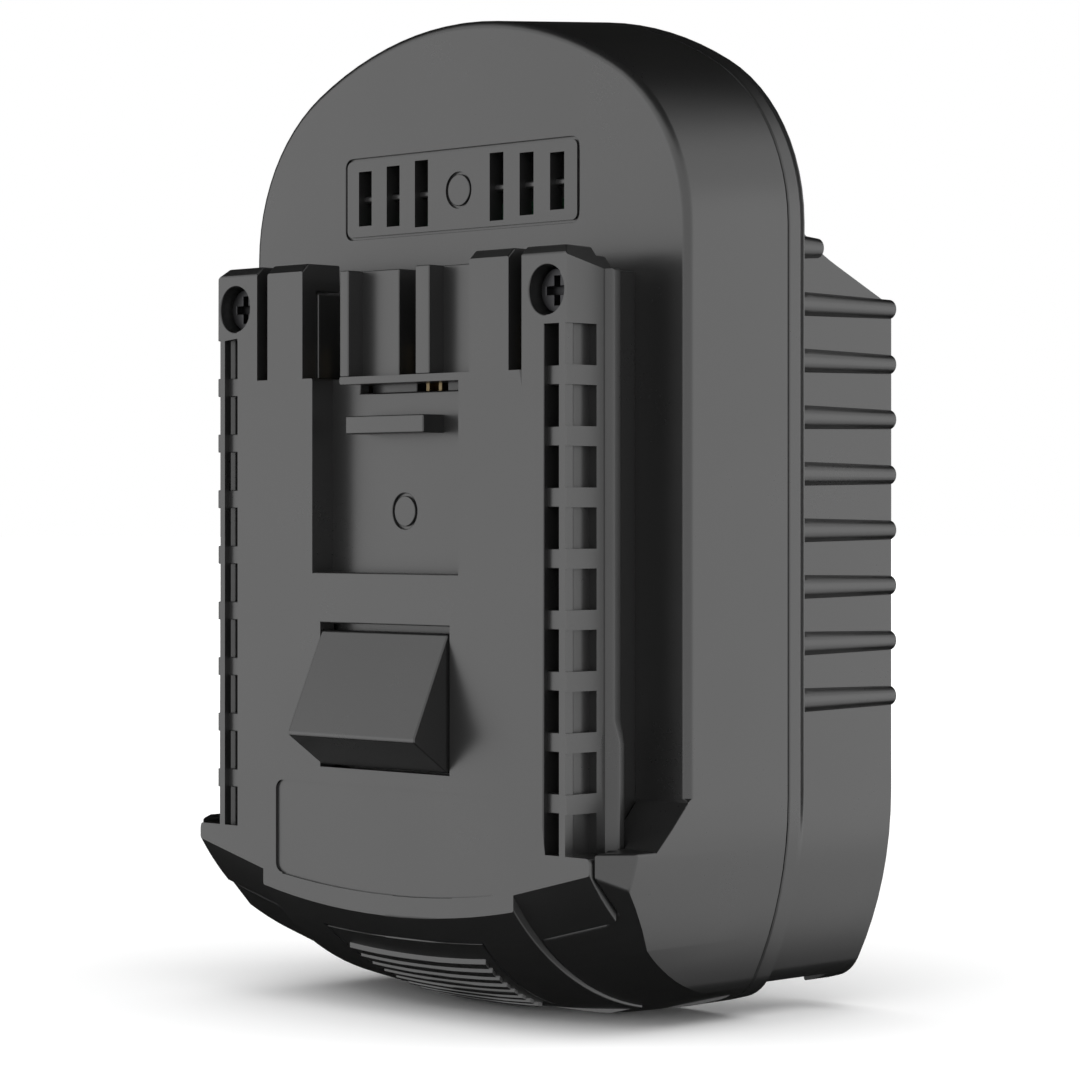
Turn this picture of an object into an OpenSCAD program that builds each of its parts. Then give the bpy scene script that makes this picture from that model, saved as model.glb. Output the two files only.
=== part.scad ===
// Tool battery adapter: a housing with a slide plate for the tool on its front
// and a slide-in receiver for the battery on its back, standing on its lower end.
// X is across, Y runs from the front to the back and Z is up.

/* [Housing] */
// Width of the housing
body_w = 76.8; // [75:0.2:82]
// Height of the housing at its face
body_h = 121.4; // [118:0.2:126]
// Wall thickness of both shells
wall = 2.4; // [2:0.1:2.8]
// Depth of the front shell's face behind the slide plate's face
face_y = 12.5; // [12:0.1:14]
// Depth of the parting line between the shells
parting_y = 30; // [29:0.1:31]
// Depth of the back of the deck that the battery slides on
deck_y = 34; // [33.6:0.1:36]
// Depth of the back of the receiver
back_y = 50.6; // [49:0.1:54]
// Corner radius of the domed top
dome_corner_r = 23.5; // [20:0.5:24]
// Height of the dome
dome_rise = 27.4; // [26.6:0.2:30]
// Angle at which the dome rises towards the back
dome_tilt = 5.1; // [3:0.1:6]
// Height below which the sides draw in
base_side_z = 27; // [24:0.5:30]
// Radius of the drawn-in sides
base_side_r = 46; // [44:1:60]
// Radius of the base beside its flat middle
base_arc_r = 64; // [60:1:80]
// Radius of the lower corners
base_corner_r = 6; // [4:0.5:8]
// Width of the flat middle of the base
base_flat_w = 24; // [20:1:28]

// Width of the groove along the parting line
parting_gap = 0.3; // [0.2:0.05:0.5]
// Depth of the groove along the parting line
parting_depth = 0.6; // [0.4:0.1:0.8]

/* [Grips] */
// Depth at which the grip sides step in
grip_step_y = 33.1; // [32.6:0.1:33.5]
// How far the grip sides step in
grip_inset = 1; // [0.7:0.1:1.2]
// Number of full ribs on each side
rib_count = 8; // [5:1:8]
// Distance from the shoulder's back end down to the top rib
rib_drop = 0.4; // [0.2:0.1:2]
// Distance from rib to rib
rib_pitch = 6.8; // [5:0.1:7]
// Radius of a rib at its front end
rib_r = 1.6; // [1.4:0.1:1.8]
// Radius of a rib at its back end
rib_end_r = 1.2; // [1:0.1:1.4]
// How far the ribs' tops lie inside the housing's side
rib_under = 0.05; // [0.05:0.05:0.3]
// Distance from the shoulder's bend up to the short rib
short_rib_up = 1; // [0.6:0.1:1.4]
// Height of the shoulder above the foot of the dome
shoulder_up = 2; // [1:0.1:3]
// Height of the shoulder's steep part
shoulder_steep_h = 4; // [3:0.1:5]
// Depth of the shoulder's steep part
shoulder_mid_y = 5; // [4:0.1:6]
// Height of the shoulder's flatter part
shoulder_flat_h = 5.4; // [4:0.1:6]
// How far the base rises towards the back
base_rise = 1.8; // [1:0.1:2.4]
// Depth behind the deck at which the base starts to rise
base_rise_y = 2; // [1:0.1:4]

/* [Receiver] */
// Width of the battery channel
channel_w = 61; // [56:0.5:62]
// Distance from the shoulder's back end down to the channel's closed end
channel_drop = 4.6; // [3.6:0.1:5.6]
// Width of the gap between the channel's lips
lip_gap_w = 54; // [50:0.5:55]
// Thickness of the channel's lips
channel_lip_t = 4.4; // [3.5:0.1:5]
// Width of the catch pocket for the battery's hook
catch_w = 18; // [14:0.5:20]
// Height of the catch pocket
catch_h = 7; // [5:0.5:8]
// Height of the lower edge of the catch pocket
catch_z = 20; // [18:0.5:22]
// Depth of the catch pocket
catch_depth = 1.4; // [1:0.1:1.6]

/* [Vents] */
// Width of the vent panel
vent_panel_w = 41.6; // [40:0.2:44]
// Height of the vent panel
vent_panel_h = 10.3; // [10:0.1:11]
// Distance from the top of the housing down to the vent panel's centre
vent_drop = 20.5; // [20:0.1:21]
// Width of the outline groove round the panel
vent_groove_w = 0.35; // [0.25:0.05:0.5]
// Depth of the outline groove and of the round marks
groove_depth = 0.35; // [0.2:0.05:0.5]
// Corner radius of the vent panel
vent_corner_r = 1.2; // [0.8:0.1:1.6]
// Width of a vent slot
vent_slot_w = 2.4; // [2:0.1:2.6]
// Distance from slot to slot
vent_pitch = 5.2; // [4.8:0.1:5.4]
// Distance of the first slot from the middle
vent_first_x = 6.7; // [6:0.1:7]
// Height of the innermost slot
vent_slot_h = 8.3; // [8:0.1:8.6]
// How much shorter each next slot is
vent_slot_step = 0.7; // [0.3:0.1:0.9]
// Height of the bridge in each slot
vent_bridge_h = 0.8; // [0.6:0.1:1]
// How far the bridge is set back
vent_bridge_back = 1; // [0.8:0.1:1.2]
// Radius of the round mark in the panel
vent_mark_r = 2.3; // [1.8:0.1:2.6]

/* [Slide plate] */
// Width of the slide plate
plate_w = 62.1; // [61.5:0.1:63]
// Height of the plate's upper edge
plate_top_z = 91; // [90.6:0.1:91.4]
// Height of the plate's lower end above the chin
plate_low_z = 21.4; // [21:0.1:21.8]
// Thickness of the plate's face
plate_t = 2.4; // [2.2:0.1:2.6]
// Thickness of the plate's side walls
plate_side_t = 4.9; // [4.8:0.1:5.2]
// Depth of the rails behind the plate's face
rail_y = 6.3; // [6:0.1:6.6]
// Thickness of the rail lips
rail_lip_t = 1.8; // [1.5:0.1:2]
// How far the rail lips stand out
rail_lip_out = 0.9; // [0.7:0.05:1.1]
// How far the lower stretch of the lips stands out
low_lip_out = 1.5; // [1.2:0.05:1.8]
// How far the lips' fronts slope back for each millimetre out
lip_slope = 0.5; // [0.4:0.05:0.6]
// Height below which the lips widen
lip_step_z = 37.1; // [36:0.1:39]
// Height over which the lips widen
lip_ramp_h = 2.7; // [2.5:0.1:4]
// How far the neck behind the lips steps in
neck_inset = 1.07; // [0.9:0.05:1.3]
// Number of ladder windows on each side
window_count = 9; // [6:1:9]
// Distance from window to window
window_pitch = 7.06; // [6:0.02:7.08]
// Height of a window
window_h = 4.78; // [4:0.02:5]
// Width of a window
window_w = 2.5; // [2.2:0.1:2.6]
// Width of the rim outside the windows
window_rim = 1.27; // [1.1:0.02:1.4]
// Height of the first window's upper edge
window_top_z = 82.9; // [82.5:0.1:83]
// Depth of the windows
window_depth = 5.2; // [4.9:0.1:5.4]
// How far the rungs lie below the plate's face
rung_drop = 0.7; // [0.4:0.1:0.9]
// Depth of the side pockets
side_pocket_y = 4.9; // [4.4:0.1:5.2]
// Depth of the rim in front of a side pocket
side_rim_y = 1.5; // [1.2:0.1:1.8]
// How far the rim is set in at a side pocket
side_rim_in = 0.3; // [0.2:0.05:0.4]
// Thickness of the web between a window and its side pocket
window_web = 0.5; // [0.4:0.05:0.7]
// Height of the slope along the plate's upper edge
plate_roof = 1; // [0.6:0.1:1.2]
// Angle at which the rails' upper ends slope back
rail_end_angle = 15; // [8:1:20]
// Angle at which the rails' upper ends slope out
rail_corner_angle = 50; // [40:1:55]

/* [Terminals] */
// Distance of the power slots from the middle
power_slot_x = 22.5; // [22.2:0.1:22.7]
// Width of the power slots
power_slot_w = 2; // [1.8:0.1:2.2]
// Height of the lower end of the slots
slot_low_z = 77.7; // [77.5:0.1:78]
// Width of the terminal bay
bay_w = 29.8; // [29.4:0.1:30.4]
// Inner edge of the left post
left_post_x = -6.4; // [-6.6:0.1:-6]
// Inner edge of the right post
right_post_x = 5.55; // [5.3:0.05:5.8]
// Outer edge of both posts
post_out_x = 8; // [7.8:0.1:8.4]
// Width of the middle signal slot
signal_slot_w = 5.4; // [4.6:0.1:5.6]
// Depth of the terminal slots behind the plate's back
slot_depth = 6.6; // [6:0.1:7]
// Height of the lower end of the contact carrier
carrier_low_z = 65; // [64:0.5:66]
// Thickness of the contact strip
strip_t = 0.6; // [0.5:0.05:0.7]
// Width of a contact's tail
tail_w = 3; // [2.6:0.1:3.2]
// Distance from a fork's middle to its leaves
leaf_x = 1.1; // [1:0.05:1.2]
// Distance from the plate's back to the power forks
leaf_back = 1.2; // [1:0.1:1.6]
// Height of the power forks above the slots' lower end
fork_up = 6; // [5:0.1:7]
// Height of the signal forks above the slots' lower end
signal_fork_up = 4; // [3:0.1:4.2]

/* [Recess] */
// Width of the middle recess
recess_w = 26.1; // [25:0.1:26.6]
// Height of the recess's lower edge
recess_low_z = 53.8; // [53:0.1:54.4]
// Depth of the recess
recess_depth = 3.45; // [3:0.05:3.6]
// Thickness of the recess's floor
recess_floor_t = 1.6; // [1.4:0.1:1.7]
// Height of the bar above the recess
bar_h = 0.9; // [0.8:0.1:1.2]
// Height of the slot below the bar
bar_slot_h = 1; // [0.8:0.1:1.2]
// Width of the shelf in the recess
shelf_w = 13.9; // [12:0.1:16]
// Height of the shelf's lower edge
shelf_z = 70.7; // [70:0.1:71.4]
// Thickness of the shelf
shelf_t = 2.2; // [1.8:0.1:2.4]
// Height of the round mark in the recess
recess_mark_z = 61.3; // [60:0.1:63]
// Radius of the round mark in the recess
recess_mark_r = 2.2; // [1.8:0.1:2.6]
// Half width of the label recess
label_half_w = 19.9; // [18:0.1:20.4]
// Height of the label recess's upper edge
label_top_z = 27.9; // [27:0.1:28.4]
// Height of the label recess's lower corners
label_low_z = 16.4; // [16:0.1:17]
// How far the label recess bulges down
label_bulge = 1.4; // [1:0.1:1.6]
// Depth of the label recess
label_depth = 0.3; // [0.2:0.05:0.4]

/* [Chin] */
// Radius of the chin's tongue
chin_r = 36.5; // [36.2:0.1:36.8]
// Depth of the chin's centre
chin_axis_y = 28; // [27.6:0.1:28.4]
// Height of the chin's centre
chin_axis_z = 35.9; // [35.7:0.1:36.1]
// Sideways crown radius of the tongue
chin_crown_r = 186; // [160:2:240]
// Thickness of the tongue
tongue_t = 2.6; // [2.4:0.1:2.8]
// Width of the tongue
tongue_w = 44.6; // [43:0.2:45.4]
// Depth of the tongue's back end
tongue_y = 22; // [21.6:0.1:22.4]
// Radius of the wings beside the tongue
wing_r = 33.5; // [33.2:0.1:33.8]
// Upward tilt of the wings
wing_tilt = 14; // [12:0.1:16]
// Distance from the middle at which the wings start
wing_x = 23.7; // [23.2:0.1:24.2]
// Width across the chin's tips
chin_tip_w = 69.2; // [68.8:0.2:69.6]
// Height of the chin's upper edge
chin_top_z = 22.2; // [22:0.1:22.4]
// Rounding of the chin's tips
chin_tip_r = 1.3; // [1:0.1:1.5]
// How far the wings lie behind the chin's tips
wing_back = 0.5; // [0.3:0.1:1]
// Height at which the wings' bevel starts beside the tips
bevel_z = 19.4; // [19:0.1:20]
// How far the bevel falls towards the sides
bevel_fall = 2; // [1.5:0.1:2.5]
// Slope of the bevel towards the inside
bevel_angle = 50; // [45:1:55]
// Depth at which the front shell's part of the chin starts
chin_shell_y = 4.6; // [4.4:0.1:4.8]
// Height at which the chin's sides meet the front face
gusset_z = 28.6; // [27:0.1:30]
// Depth of the gusset's front end
gusset_y = 7.6; // [7:0.1:8]

/* [Latch] */
// Width of the latch tooth
tooth_w = 22.5; // [20:0.1:23]
// How far the tooth stands out of the plate
tooth_proud = 5.5; // [5:0.1:5.8]
// Height of the tooth's upper edge
tooth_top_z = 46.7; // [46.4:0.1:47]
// Height of the tooth's crest
tooth_crest_z = 34.3; // [33.6:0.1:35]
// Height of the tooth's lower edge
tooth_low_z = 30.2; // [30:0.1:30.4]
// Width of the flat on the crest
tooth_crest_flat = 0.5; // [0.3:0.1:0.8]
// Gap above the tooth
tooth_top_gap = 0.9; // [0.6:0.1:1.2]
// Running clearance of the moving pieces
run_gap = 0.3; // [0.25:0.05:0.4]
// Thickness of the latch's flange
flange_t = 2.4; // [2:0.1:2.8]
// How far the flange reaches past the tooth
flange_out = 2.4; // [2:0.1:2.6]
// Depth of the latch pin
pin_y = 8.4; // [8.2:0.1:8.6]
// Height of the latch pin
pin_z = 33.4; // [33.2:0.1:33.6]
// Radius of the latch pin
pin_r = 1.25; // [1:0.05:1.3]
// Distance of the springs from the middle
spring_x = 6; // [5:0.1:6.5]
// Height of the springs
spring_z = 42; // [41:0.1:43]
// Mean radius of the springs
spring_r = 2.7; // [2.5:0.05:2.8]
// Wire radius of the springs
spring_wire_r = 0.35; // [0.3:0.05:0.4]
// Number of turns of each spring
spring_turns = 7; // [6:1:8]
// Depth of the front of the spring bridge
bridge_y = 19.5; // [19:0.1:20]
// Thickness of the spring bridge
bridge_t = 2.2; // [2:0.1:2.4]
// How far the bridge reaches past its screws
bridge_margin = 3; // [2.8:0.1:3.4]
// Distance of the bridge's screws from the opening in the front shell
bridge_screw_out = 1.6; // [1:0.1:2]
// Length of the spigots that hold the springs' ends
spigot_l = 2.4; // [2:0.1:3]
// Height of the spring bridge
bridge_h = 10; // [9:0.5:12]

/* [Button] */
// Angle between the press direction and upright
press_angle = 30; // [28:0.5:32]
// Travel of the button
button_travel = 3; // [2.8:0.1:3.2]
// Width of the button at its front
button_front_w = 27.8; // [26:0.2:28]
// Width of the button at its back
button_back_w = 21; // [20:0.2:22]
// Reach of the button from its middle to its front edge
button_front = 8.5; // [8:0.1:8.6]
// Reach of the button from its middle to its back edge
button_back = 11; // [10:0.1:11.2]
// How far the button's hidden flange reaches past its edge
button_flange = 1.2; // [1:0.1:1.4]
// Number of ridges on the button
ridge_count = 8; // [5:1:8]
// Distance from ridge to ridge
ridge_pitch = 1.9; // [1.6:0.05:1.95]
// Width of a ridge
ridge_w = 0.9; // [0.7:0.05:1]
// Height of a ridge
ridge_h = 0.5; // [0.3:0.05:0.6]
// Smooth margin beside the ridges
ridge_margin = 1.4; // [1:0.1:2]
// Thickness of the button's arms
arm_t = 2.4; // [2:0.1:2.6]

/* [Board] */
// Gap between the circuit board and the shell's sides
board_side_gap = 3.4; // [3:0.1:5]
// Height of the board's upper edge above the foot of the dome
board_up = 6; // [4:0.2:7]
// Height of the board's lower edge
board_z = 58; // [57:0.5:59]
// Depth of the front of the board
board_y = 22.4; // [22:0.1:22.6]
// Thickness of the board
board_t = 1.6; // [1.2:0.1:1.8]
// Distance of the board's screws from its edges
board_screw_in = 3.6; // [3.4:0.1:4]
// Width of a transistor's case
transistor_w = 10; // [9:0.1:11]
// Height of a transistor's case
transistor_h = 9; // [8:0.1:10]
// Thickness of a transistor's case
transistor_t = 4.4; // [4:0.1:4.8]
// Distance of the transistors from the middle
transistor_x = 12; // [11:0.5:13]
// Distance from the board's upper edge down to the transistors
transistor_drop = 3; // [2:0.5:5]
// Radius of the capacitor
capacitor_r = 3.1; // [2.5:0.1:3.3]
// Length of the capacitor
capacitor_l = 11; // [9:0.5:11.5]

/* [Battery terminals] */
// Width of the battery terminal block
block_w = 46; // [44:0.5:50]
// Height of the terminal block
block_h = 15; // [14:0.5:16]
// Depth of the terminal block behind the deck
block_t = 9; // [8.5:0.1:10]
// Distance of the power blades from the middle
blade_x = 17.5; // [16.5:0.1:18.5]
// Distance of the signal blades from the middle
signal_blade_x = 5; // [4:0.1:6]
// Thickness of the blades
blade_t = 0.8; // [0.7:0.05:1]
// Depth of the blades
blade_depth = 5; // [4.5:0.1:5.4]
// Distance from the deck to the blades
blade_off = 1.8; // [1.5:0.1:2.2]
// Free length of the blades below the block
blade_l = 16; // [14:0.5:18]
// Height of the blades' tails
tail_h = 3; // [2.6:0.1:3.4]

/* [Screws] */
// Shank radius of all screws
screw_r = 1.4; // [1.2:0.05:1.5]
// Head radius of all screws
head_r = 2.6; // [2.4:0.05:2.7]
// Head height of all screws
head_h = 1.9; // [1.6:0.1:2]
// Gap round a screw's shank
screw_gap = 0.06; // [0.04:0.01:0.1]
// Wall round a screw's shank
boss_t = 1.7; // [1.6:0.1:2]
// Distance of the plate's screws from the plate's edge
plate_screw_in = 3.3; // [3.25:0.05:3.4]
// Height of the plate's upper screws
plate_screw_z = 86.8; // [86.6:0.1:87]
// Radius of the wells of the plate's upper screws
well_r = 2.9; // [2.8:0.05:2.95]
// Depth of the seats of the plate's upper screws
well_y = 3.6; // [3.4:0.1:3.8]
// Length of the plate's upper screws
plate_screw_l = 15; // [14:0.5:16]
// Height of the plate's lower screws
rear_screw_z = 33.5; // [33:0.1:34]
// Length of the short screws
short_screw_l = 7.5; // [7:0.1:8]
// Length of the housing screws
housing_screw_l = 11; // [10:0.5:12]
// Distance of the upper housing screws from the middle
cap_screw_x = 25; // [24:0.5:26]
// Distance from the top of the housing down to the upper housing screws
cap_screw_drop = 15.2; // [14.6:0.1:15.8]
// Height of the lower housing screws
low_screw_z = 25; // [24.5:0.1:26]
// Depth of the seats of the housing screws
seat_y = 32.4; // [32.2:0.1:32.6]

/* [Hidden] */
$fn = 48;
eps = 0.01;
housing_grey = [0.2, 0.2, 0.21];
inner_black = [0.1, 0.1, 0.1];
brass = [0.8, 0.65, 0.35];
steel = [0.6, 0.6, 0.62];

// The origin lies under the middle of the whole depth, from the tooth's crest to the back
front_y = -(back_y - tooth_proud) / 2;
far = 200;
half_w = body_w / 2;
inner_half_w = half_w - wall;
face_in_y = face_y + wall;
deck_in_y = deck_y - wall;

// Dome: a crown arc that meets two corner arcs smoothly
dome_start_z = body_h - dome_rise;
dome_x = half_w - dome_corner_r;
crown_r = (dome_x * dome_x + dome_rise * dome_rise - dome_corner_r * dome_corner_r)
    / (2 * (dome_rise - dome_corner_r));
crown_z = body_h - crown_r;
dome_angle = atan2(dome_start_z - crown_z, dome_x);
// The crown's arc starts this side of its top, so that the mirrored half adds the other point
crown_start = 89.5;

// Base: the centre of each lower corner lies where the two larger arcs, drawn in, meet
side_c = [half_w - base_side_r, base_side_z];
base_c = [base_flat_w / 2, base_arc_r];
corner_c = circles_meet(side_c, base_side_r - base_corner_r, base_c, base_arc_r - base_corner_r);
side_angle = atan2(corner_c[1] - side_c[1], corner_c[0] - side_c[0]);
base_angle = atan2(corner_c[1] - base_c[1], corner_c[0] - base_c[0]);

shoulder_top_z = dome_start_z + shoulder_up;
shoulder_mid_z = shoulder_top_z - shoulder_steep_h;
shoulder_back_z = shoulder_mid_z - shoulder_flat_h;
rib_top_z = shoulder_back_z - rib_drop;
short_rib_z = shoulder_mid_z + short_rib_up;
channel_top_z = shoulder_back_z - channel_drop;
vent_z = body_h - vent_drop;
cap_screw_z = body_h - cap_screw_drop;

plate_half = plate_w / 2;
plate_in = plate_half - plate_side_t;
neck_half = plate_half - neck_inset;
lip_back_y = rail_y + rail_lip_t;
window_x = plate_half - window_rim - window_w;
plate_screw_x = plate_half - plate_screw_in;
neck_screw_x = (plate_in + neck_half) / 2;
bay_half = bay_w / 2;
bar_low_z = slot_low_z - bar_h;
recess_back_y = recess_depth + recess_floor_t;
carrier_half = plate_in - run_gap;

latch_travel = tooth_proud;
tooth_half = tooth_w / 2;
window_half = tooth_half + run_gap;
flange_y = plate_t + run_gap;
flange_back_y = flange_y + flange_t;
arm_x = tooth_half + 1;
arm_out_x = arm_x + arm_t;
slot_dy = latch_travel - button_travel * sin(press_angle);
slot_dz = -button_travel * cos(press_angle);
arm_top_z = pin_z + pin_r + 3;
bridge_screw_x = plate_in + bridge_screw_out;
bridge_half = bridge_screw_x + bridge_margin;
flange_wide_z = arm_top_z + button_travel * cos(press_angle) + 2 * run_gap;
flange_top_z = tooth_top_z + tooth_top_gap + 1.6;
pad_back_r = chin_r - tongue_t;
shell_gap = 0.15;
tip_x = chin_tip_w / 2 + shell_gap;
spigot_r = spring_r - spring_wire_r - run_gap;

board_w = 2 * (inner_half_w - board_side_gap);
board_top_z = dome_start_z + board_up;
board_back_y = board_y + board_t;
board_screw_x = board_w / 2 - board_screw_in;
board_screw_zs = [board_z + board_screw_in, board_top_z - board_screw_in];
boss_r = screw_r + boss_t;
wall_screw_x = (channel_w / 2 + half_w - grip_inset) / 2;
housing_screw_places = [
    for (s = [-1, 1]) each [[s * cap_screw_x, cap_screw_z], [s * wall_screw_x, low_screw_z]]
];
block_low_z = channel_top_z - block_h;
blade_y = deck_y + blade_off;
tail_z = block_low_z + block_h / 2;
// The capacitor lies between the tails of a power blade and a signal blade
capacitor_x = (signal_blade_x + blade_x) / 2;
contact_low_z = carrier_low_z + 2 + run_gap;
contact_tail_z = contact_low_z + 1.7;

function circles_meet(p, r, q, s) =
    let (d = norm(q - p), a = (r * r - s * s + d * d) / (2 * d), h = sqrt(r * r - a * a), u = (q - p) / d)
    p + a * u + h * [u[1], -u[0]];

function arc(c, r, from, to, steps) =
    [for (i = [0:steps]) let (t = from + (to - from) * i / steps) c + r * [cos(t), sin(t)]];

// A smooth bend from p to r with its corner at q
function bend(p, q, r, steps) =
    [for (i = [0:steps]) let (t = i / steps) (1 - t) * (1 - t) * p + 2 * t * (1 - t) * q + t * t * r];

// Height of the shoulder's flatter line at a share of the steep part's depth
function shoulder_low(share) =
    shoulder_mid_z - (share - 1) * shoulder_mid_y * shoulder_flat_h / (back_y - grip_step_y - shoulder_mid_y);

function mirrored(points) =
    concat(points, [for (i = [len(points) - 1:-1:0]) [-points[i][0], points[i][1]]]);

// Right half of the dome from the crown down to the straight side
function half_dome(inset) = concat(
    arc([0, crown_z], crown_r - inset, crown_start, dome_angle, 10),
    arc([dome_x, dome_start_z], dome_corner_r - inset, dome_angle, 0, 12)
);

// Right half of the base from the straight side down to the middle
function half_base(inset) = concat(
    arc(side_c, base_side_r - inset, 0, side_angle, 8),
    arc(corner_c, base_corner_r - inset, side_angle, base_angle, 6),
    arc(base_c, base_arc_r - inset, base_angle, -90, 6)
);

// The dome with its last flat run on outwards, so that the straight side trims it
function open_dome(inset) =
    let (d = half_dome(inset), n = len(d), out = d[n - 1] + 8 * (d[n - 1] - d[n - 2]))
    concat(d, [out, [out[0], -far]]);

// A point at a given angle on the tongue's arc, counted from the press direction
function on_chin(r, angle) =
    [chin_axis_y - r * sin(press_angle - angle), chin_axis_z - r * cos(press_angle - angle)];

module placed() {
    translate([0, front_y, 0])
        children();
}

// Extrudes a drawing of X and Z along Y
module along_y(from, to) {
    translate([0, to, 0])
        rotate([90, 0, 0])
            linear_extrude(to - from)
                children();
}

// Extrudes a drawing of Y and Z along X
module along_x(from, to) {
    translate([from, 0, 0])
        rotate([90, 0, 90])
            linear_extrude(to - from)
                children();
}

module box(x, y, z) {
    translate([x[0], y[0], z[0]])
        cube([x[1] - x[0], y[1] - y[0], z[1] - z[0]]);
}

module bore(x, z, r, from, to) {
    translate([x, to, z])
        rotate([90, 0, 0])
            cylinder(r = r, h = to - from);
}

module both_sides() {
    for (m = [0, 1])
        mirror([m, 0, 0])
            children();
}

module rounded_panel(w, h, r) {
    square([w, h - 2 * r], center = true);
    square([w - 2 * r, h], center = true);
    for (x = [-1, 1], z = [-1, 1])
        translate([x * (w / 2 - r), z * (h / 2 - r)])
            circle(r);
}

module body_outline(inset) {
    polygon(mirrored(concat(half_dome(inset), half_base(inset))));
}

// The housing's outline along Y, with a dome that rises towards the back
module body_slice(from, to, inset) {
    intersection() {
        along_y(from, to)
            polygon(mirrored(concat([[half_w - inset, far]], half_base(inset))));
        translate([0, face_y, dome_start_z])
            rotate([dome_tilt, 0, 0])
                translate([0, -face_y, -dome_start_z])
                    along_y(-body_h, body_h)
                        polygon(mirrored(open_dome(inset)));
    }
}

// A ring round the chin's axis with a slight sideways crown
module chin_ring(r_out, r_in, half) {
    translate([0, chin_axis_y, chin_axis_z])
        rotate([0, 90, 0])
            rotate_extrude($fn = 180)
                intersection() {
                    translate([r_in, -half])
                        square([r_out - r_in, 2 * half]);
                    translate([r_out - chin_crown_r, 0])
                        circle(chin_crown_r, $fn = 720);
                }
}

// The space inside both wings' tilted cylinders, and everything behind and above the chin
module wing_space(r) {
    both_sides()
        intersection() {
            translate([wing_x, chin_axis_y, chin_axis_z])
                rotate([0, 90 - wing_tilt, 0])
                    cylinder(r = r, h = far, center = true, $fn = 96);
            box([0, far], [-far, far], [-far, far]);
        }
    box([-far, far], [chin_axis_y, far], [-far, far]);
    box([-far, far], [-far, far], [chin_top_z + 2, far]);
}

// A cross-head screw whose seat lies at the origin, pointing along +Y
module screw(length) {
    cross_w = 0.9;
    cross_l = head_r * 1.3;
    cross_depth = head_h * 0.6;
    difference() {
        union() {
            rotate([90, 0, 0])
                cylinder(r = head_r, h = head_h);
            rotate([-90, 0, 0])
                cylinder(r = screw_r, h = length);
        }
        for (turn = [0, 90])
            rotate([0, turn, 0])
                translate([-cross_l / 2, -head_h - eps, -cross_w / 2])
                    cube([cross_l, cross_depth, cross_w]);
    }
}

// The same screw driven from the back
module back_screw(x, y, z, length) {
    translate([x, y, z])
        rotate([0, 0, 180])
            screw(length);
}

// Housing

module front_body() {
    intersection() {
        union() {
            body_slice(face_y, parting_y, 0);
            difference() {
                intersection() {
                    along_y(0, face_y + eps)
                        body_outline(0);
                    along_x(-far, far)
                        polygon([
                            [0, -far], [face_y + 1, -far], [face_y + 1, gusset_z],
                            [gusset_y, chin_top_z], [0, chin_top_z]
                        ]);
                    translate([0, 0, -1])
                        linear_extrude(gusset_z + 2)
                            polygon(mirrored([
                                [tip_x, chin_shell_y], [tip_x, wing_back], [half_w, chin_shell_y],
                                [half_w + 1, chin_shell_y], [half_w + 1, face_y + 1]
                            ]));
                }
                wing_bevel();
            }
        }
        wing_space(wing_r);
    }
}

// The space below the slanted bevel that runs from each tip to the side
module wing_bevel() {
    run = [half_w - tip_x, chin_shell_y - wing_back];
    both_sides()
        translate([tip_x, wing_back, bevel_z])
            rotate([0, 0, atan2(run[1], run[0])])
                rotate([0, atan(bevel_fall / norm(run)), 0])
                    rotate([-bevel_angle, 0, 0])
                        translate([-wing_r, -wing_r, -2 * wing_r])
                            cube(2 * wing_r);
}

module front_cavity() {
    intersection() {
        union() {
            body_slice(face_in_y, parting_y + 1, wall);
            along_y(chin_shell_y + wall, face_in_y + eps)
                intersection() {
                    body_outline(wall);
                    translate([-far, 0])
                        square([2 * far, chin_top_z - wall]);
                }
        }
        wing_space(wing_r - wall);
    }
}

module vent_cuts() {
    for (side = [-1, 1], i = [0:2])
        translate([side * (vent_first_x + i * vent_pitch), 0, vent_z])
            difference() {
                h = vent_slot_h - i * vent_slot_step;
                box([-vent_slot_w / 2, vent_slot_w / 2], [face_y - 1, face_in_y + 1], [-h / 2, h / 2]);
                box([-vent_slot_w, vent_slot_w], [face_y + vent_bridge_back, face_in_y],
                    [-vent_bridge_h / 2, vent_bridge_h / 2]);
            }
    along_y(face_y - 1, face_y + groove_depth)
        translate([0, vent_z])
            difference() {
                rounded_panel(vent_panel_w, vent_panel_h, vent_corner_r);
                rounded_panel(vent_panel_w - 2 * vent_groove_w, vent_panel_h - 2 * vent_groove_w,
                    vent_corner_r - vent_groove_w);
            }
    round_mark(vent_mark_r, face_y, vent_z);
}

// A ring groove that leaves a round mark standing
module round_mark(r, y, z) {
    difference() {
        bore(0, z, r, y - 1, y + groove_depth);
        bore(0, z, r - vent_groove_w, y - 2, y + 1);
    }
}

module front_bosses() {
    both_sides() {
        bore(plate_screw_x, plate_screw_z, boss_r, face_y + eps, well_y + plate_screw_l + 1.5);
        bore(cap_screw_x, cap_screw_z, boss_r, face_y + eps, parting_y);
        bore(bridge_screw_x, spring_z, boss_r, face_y + eps, bridge_y);
        for (z = board_screw_zs)
            bore(board_screw_x, z, boss_r, face_y + eps, board_y);
        intersection() {
            box([wall_screw_x - boss_r, half_w], [face_y + eps, parting_y],
                [low_screw_z - boss_r, low_screw_z + boss_r]);
            along_y(face_y, parting_y)
                body_outline(wall / 2);
        }
    }
}

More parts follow.
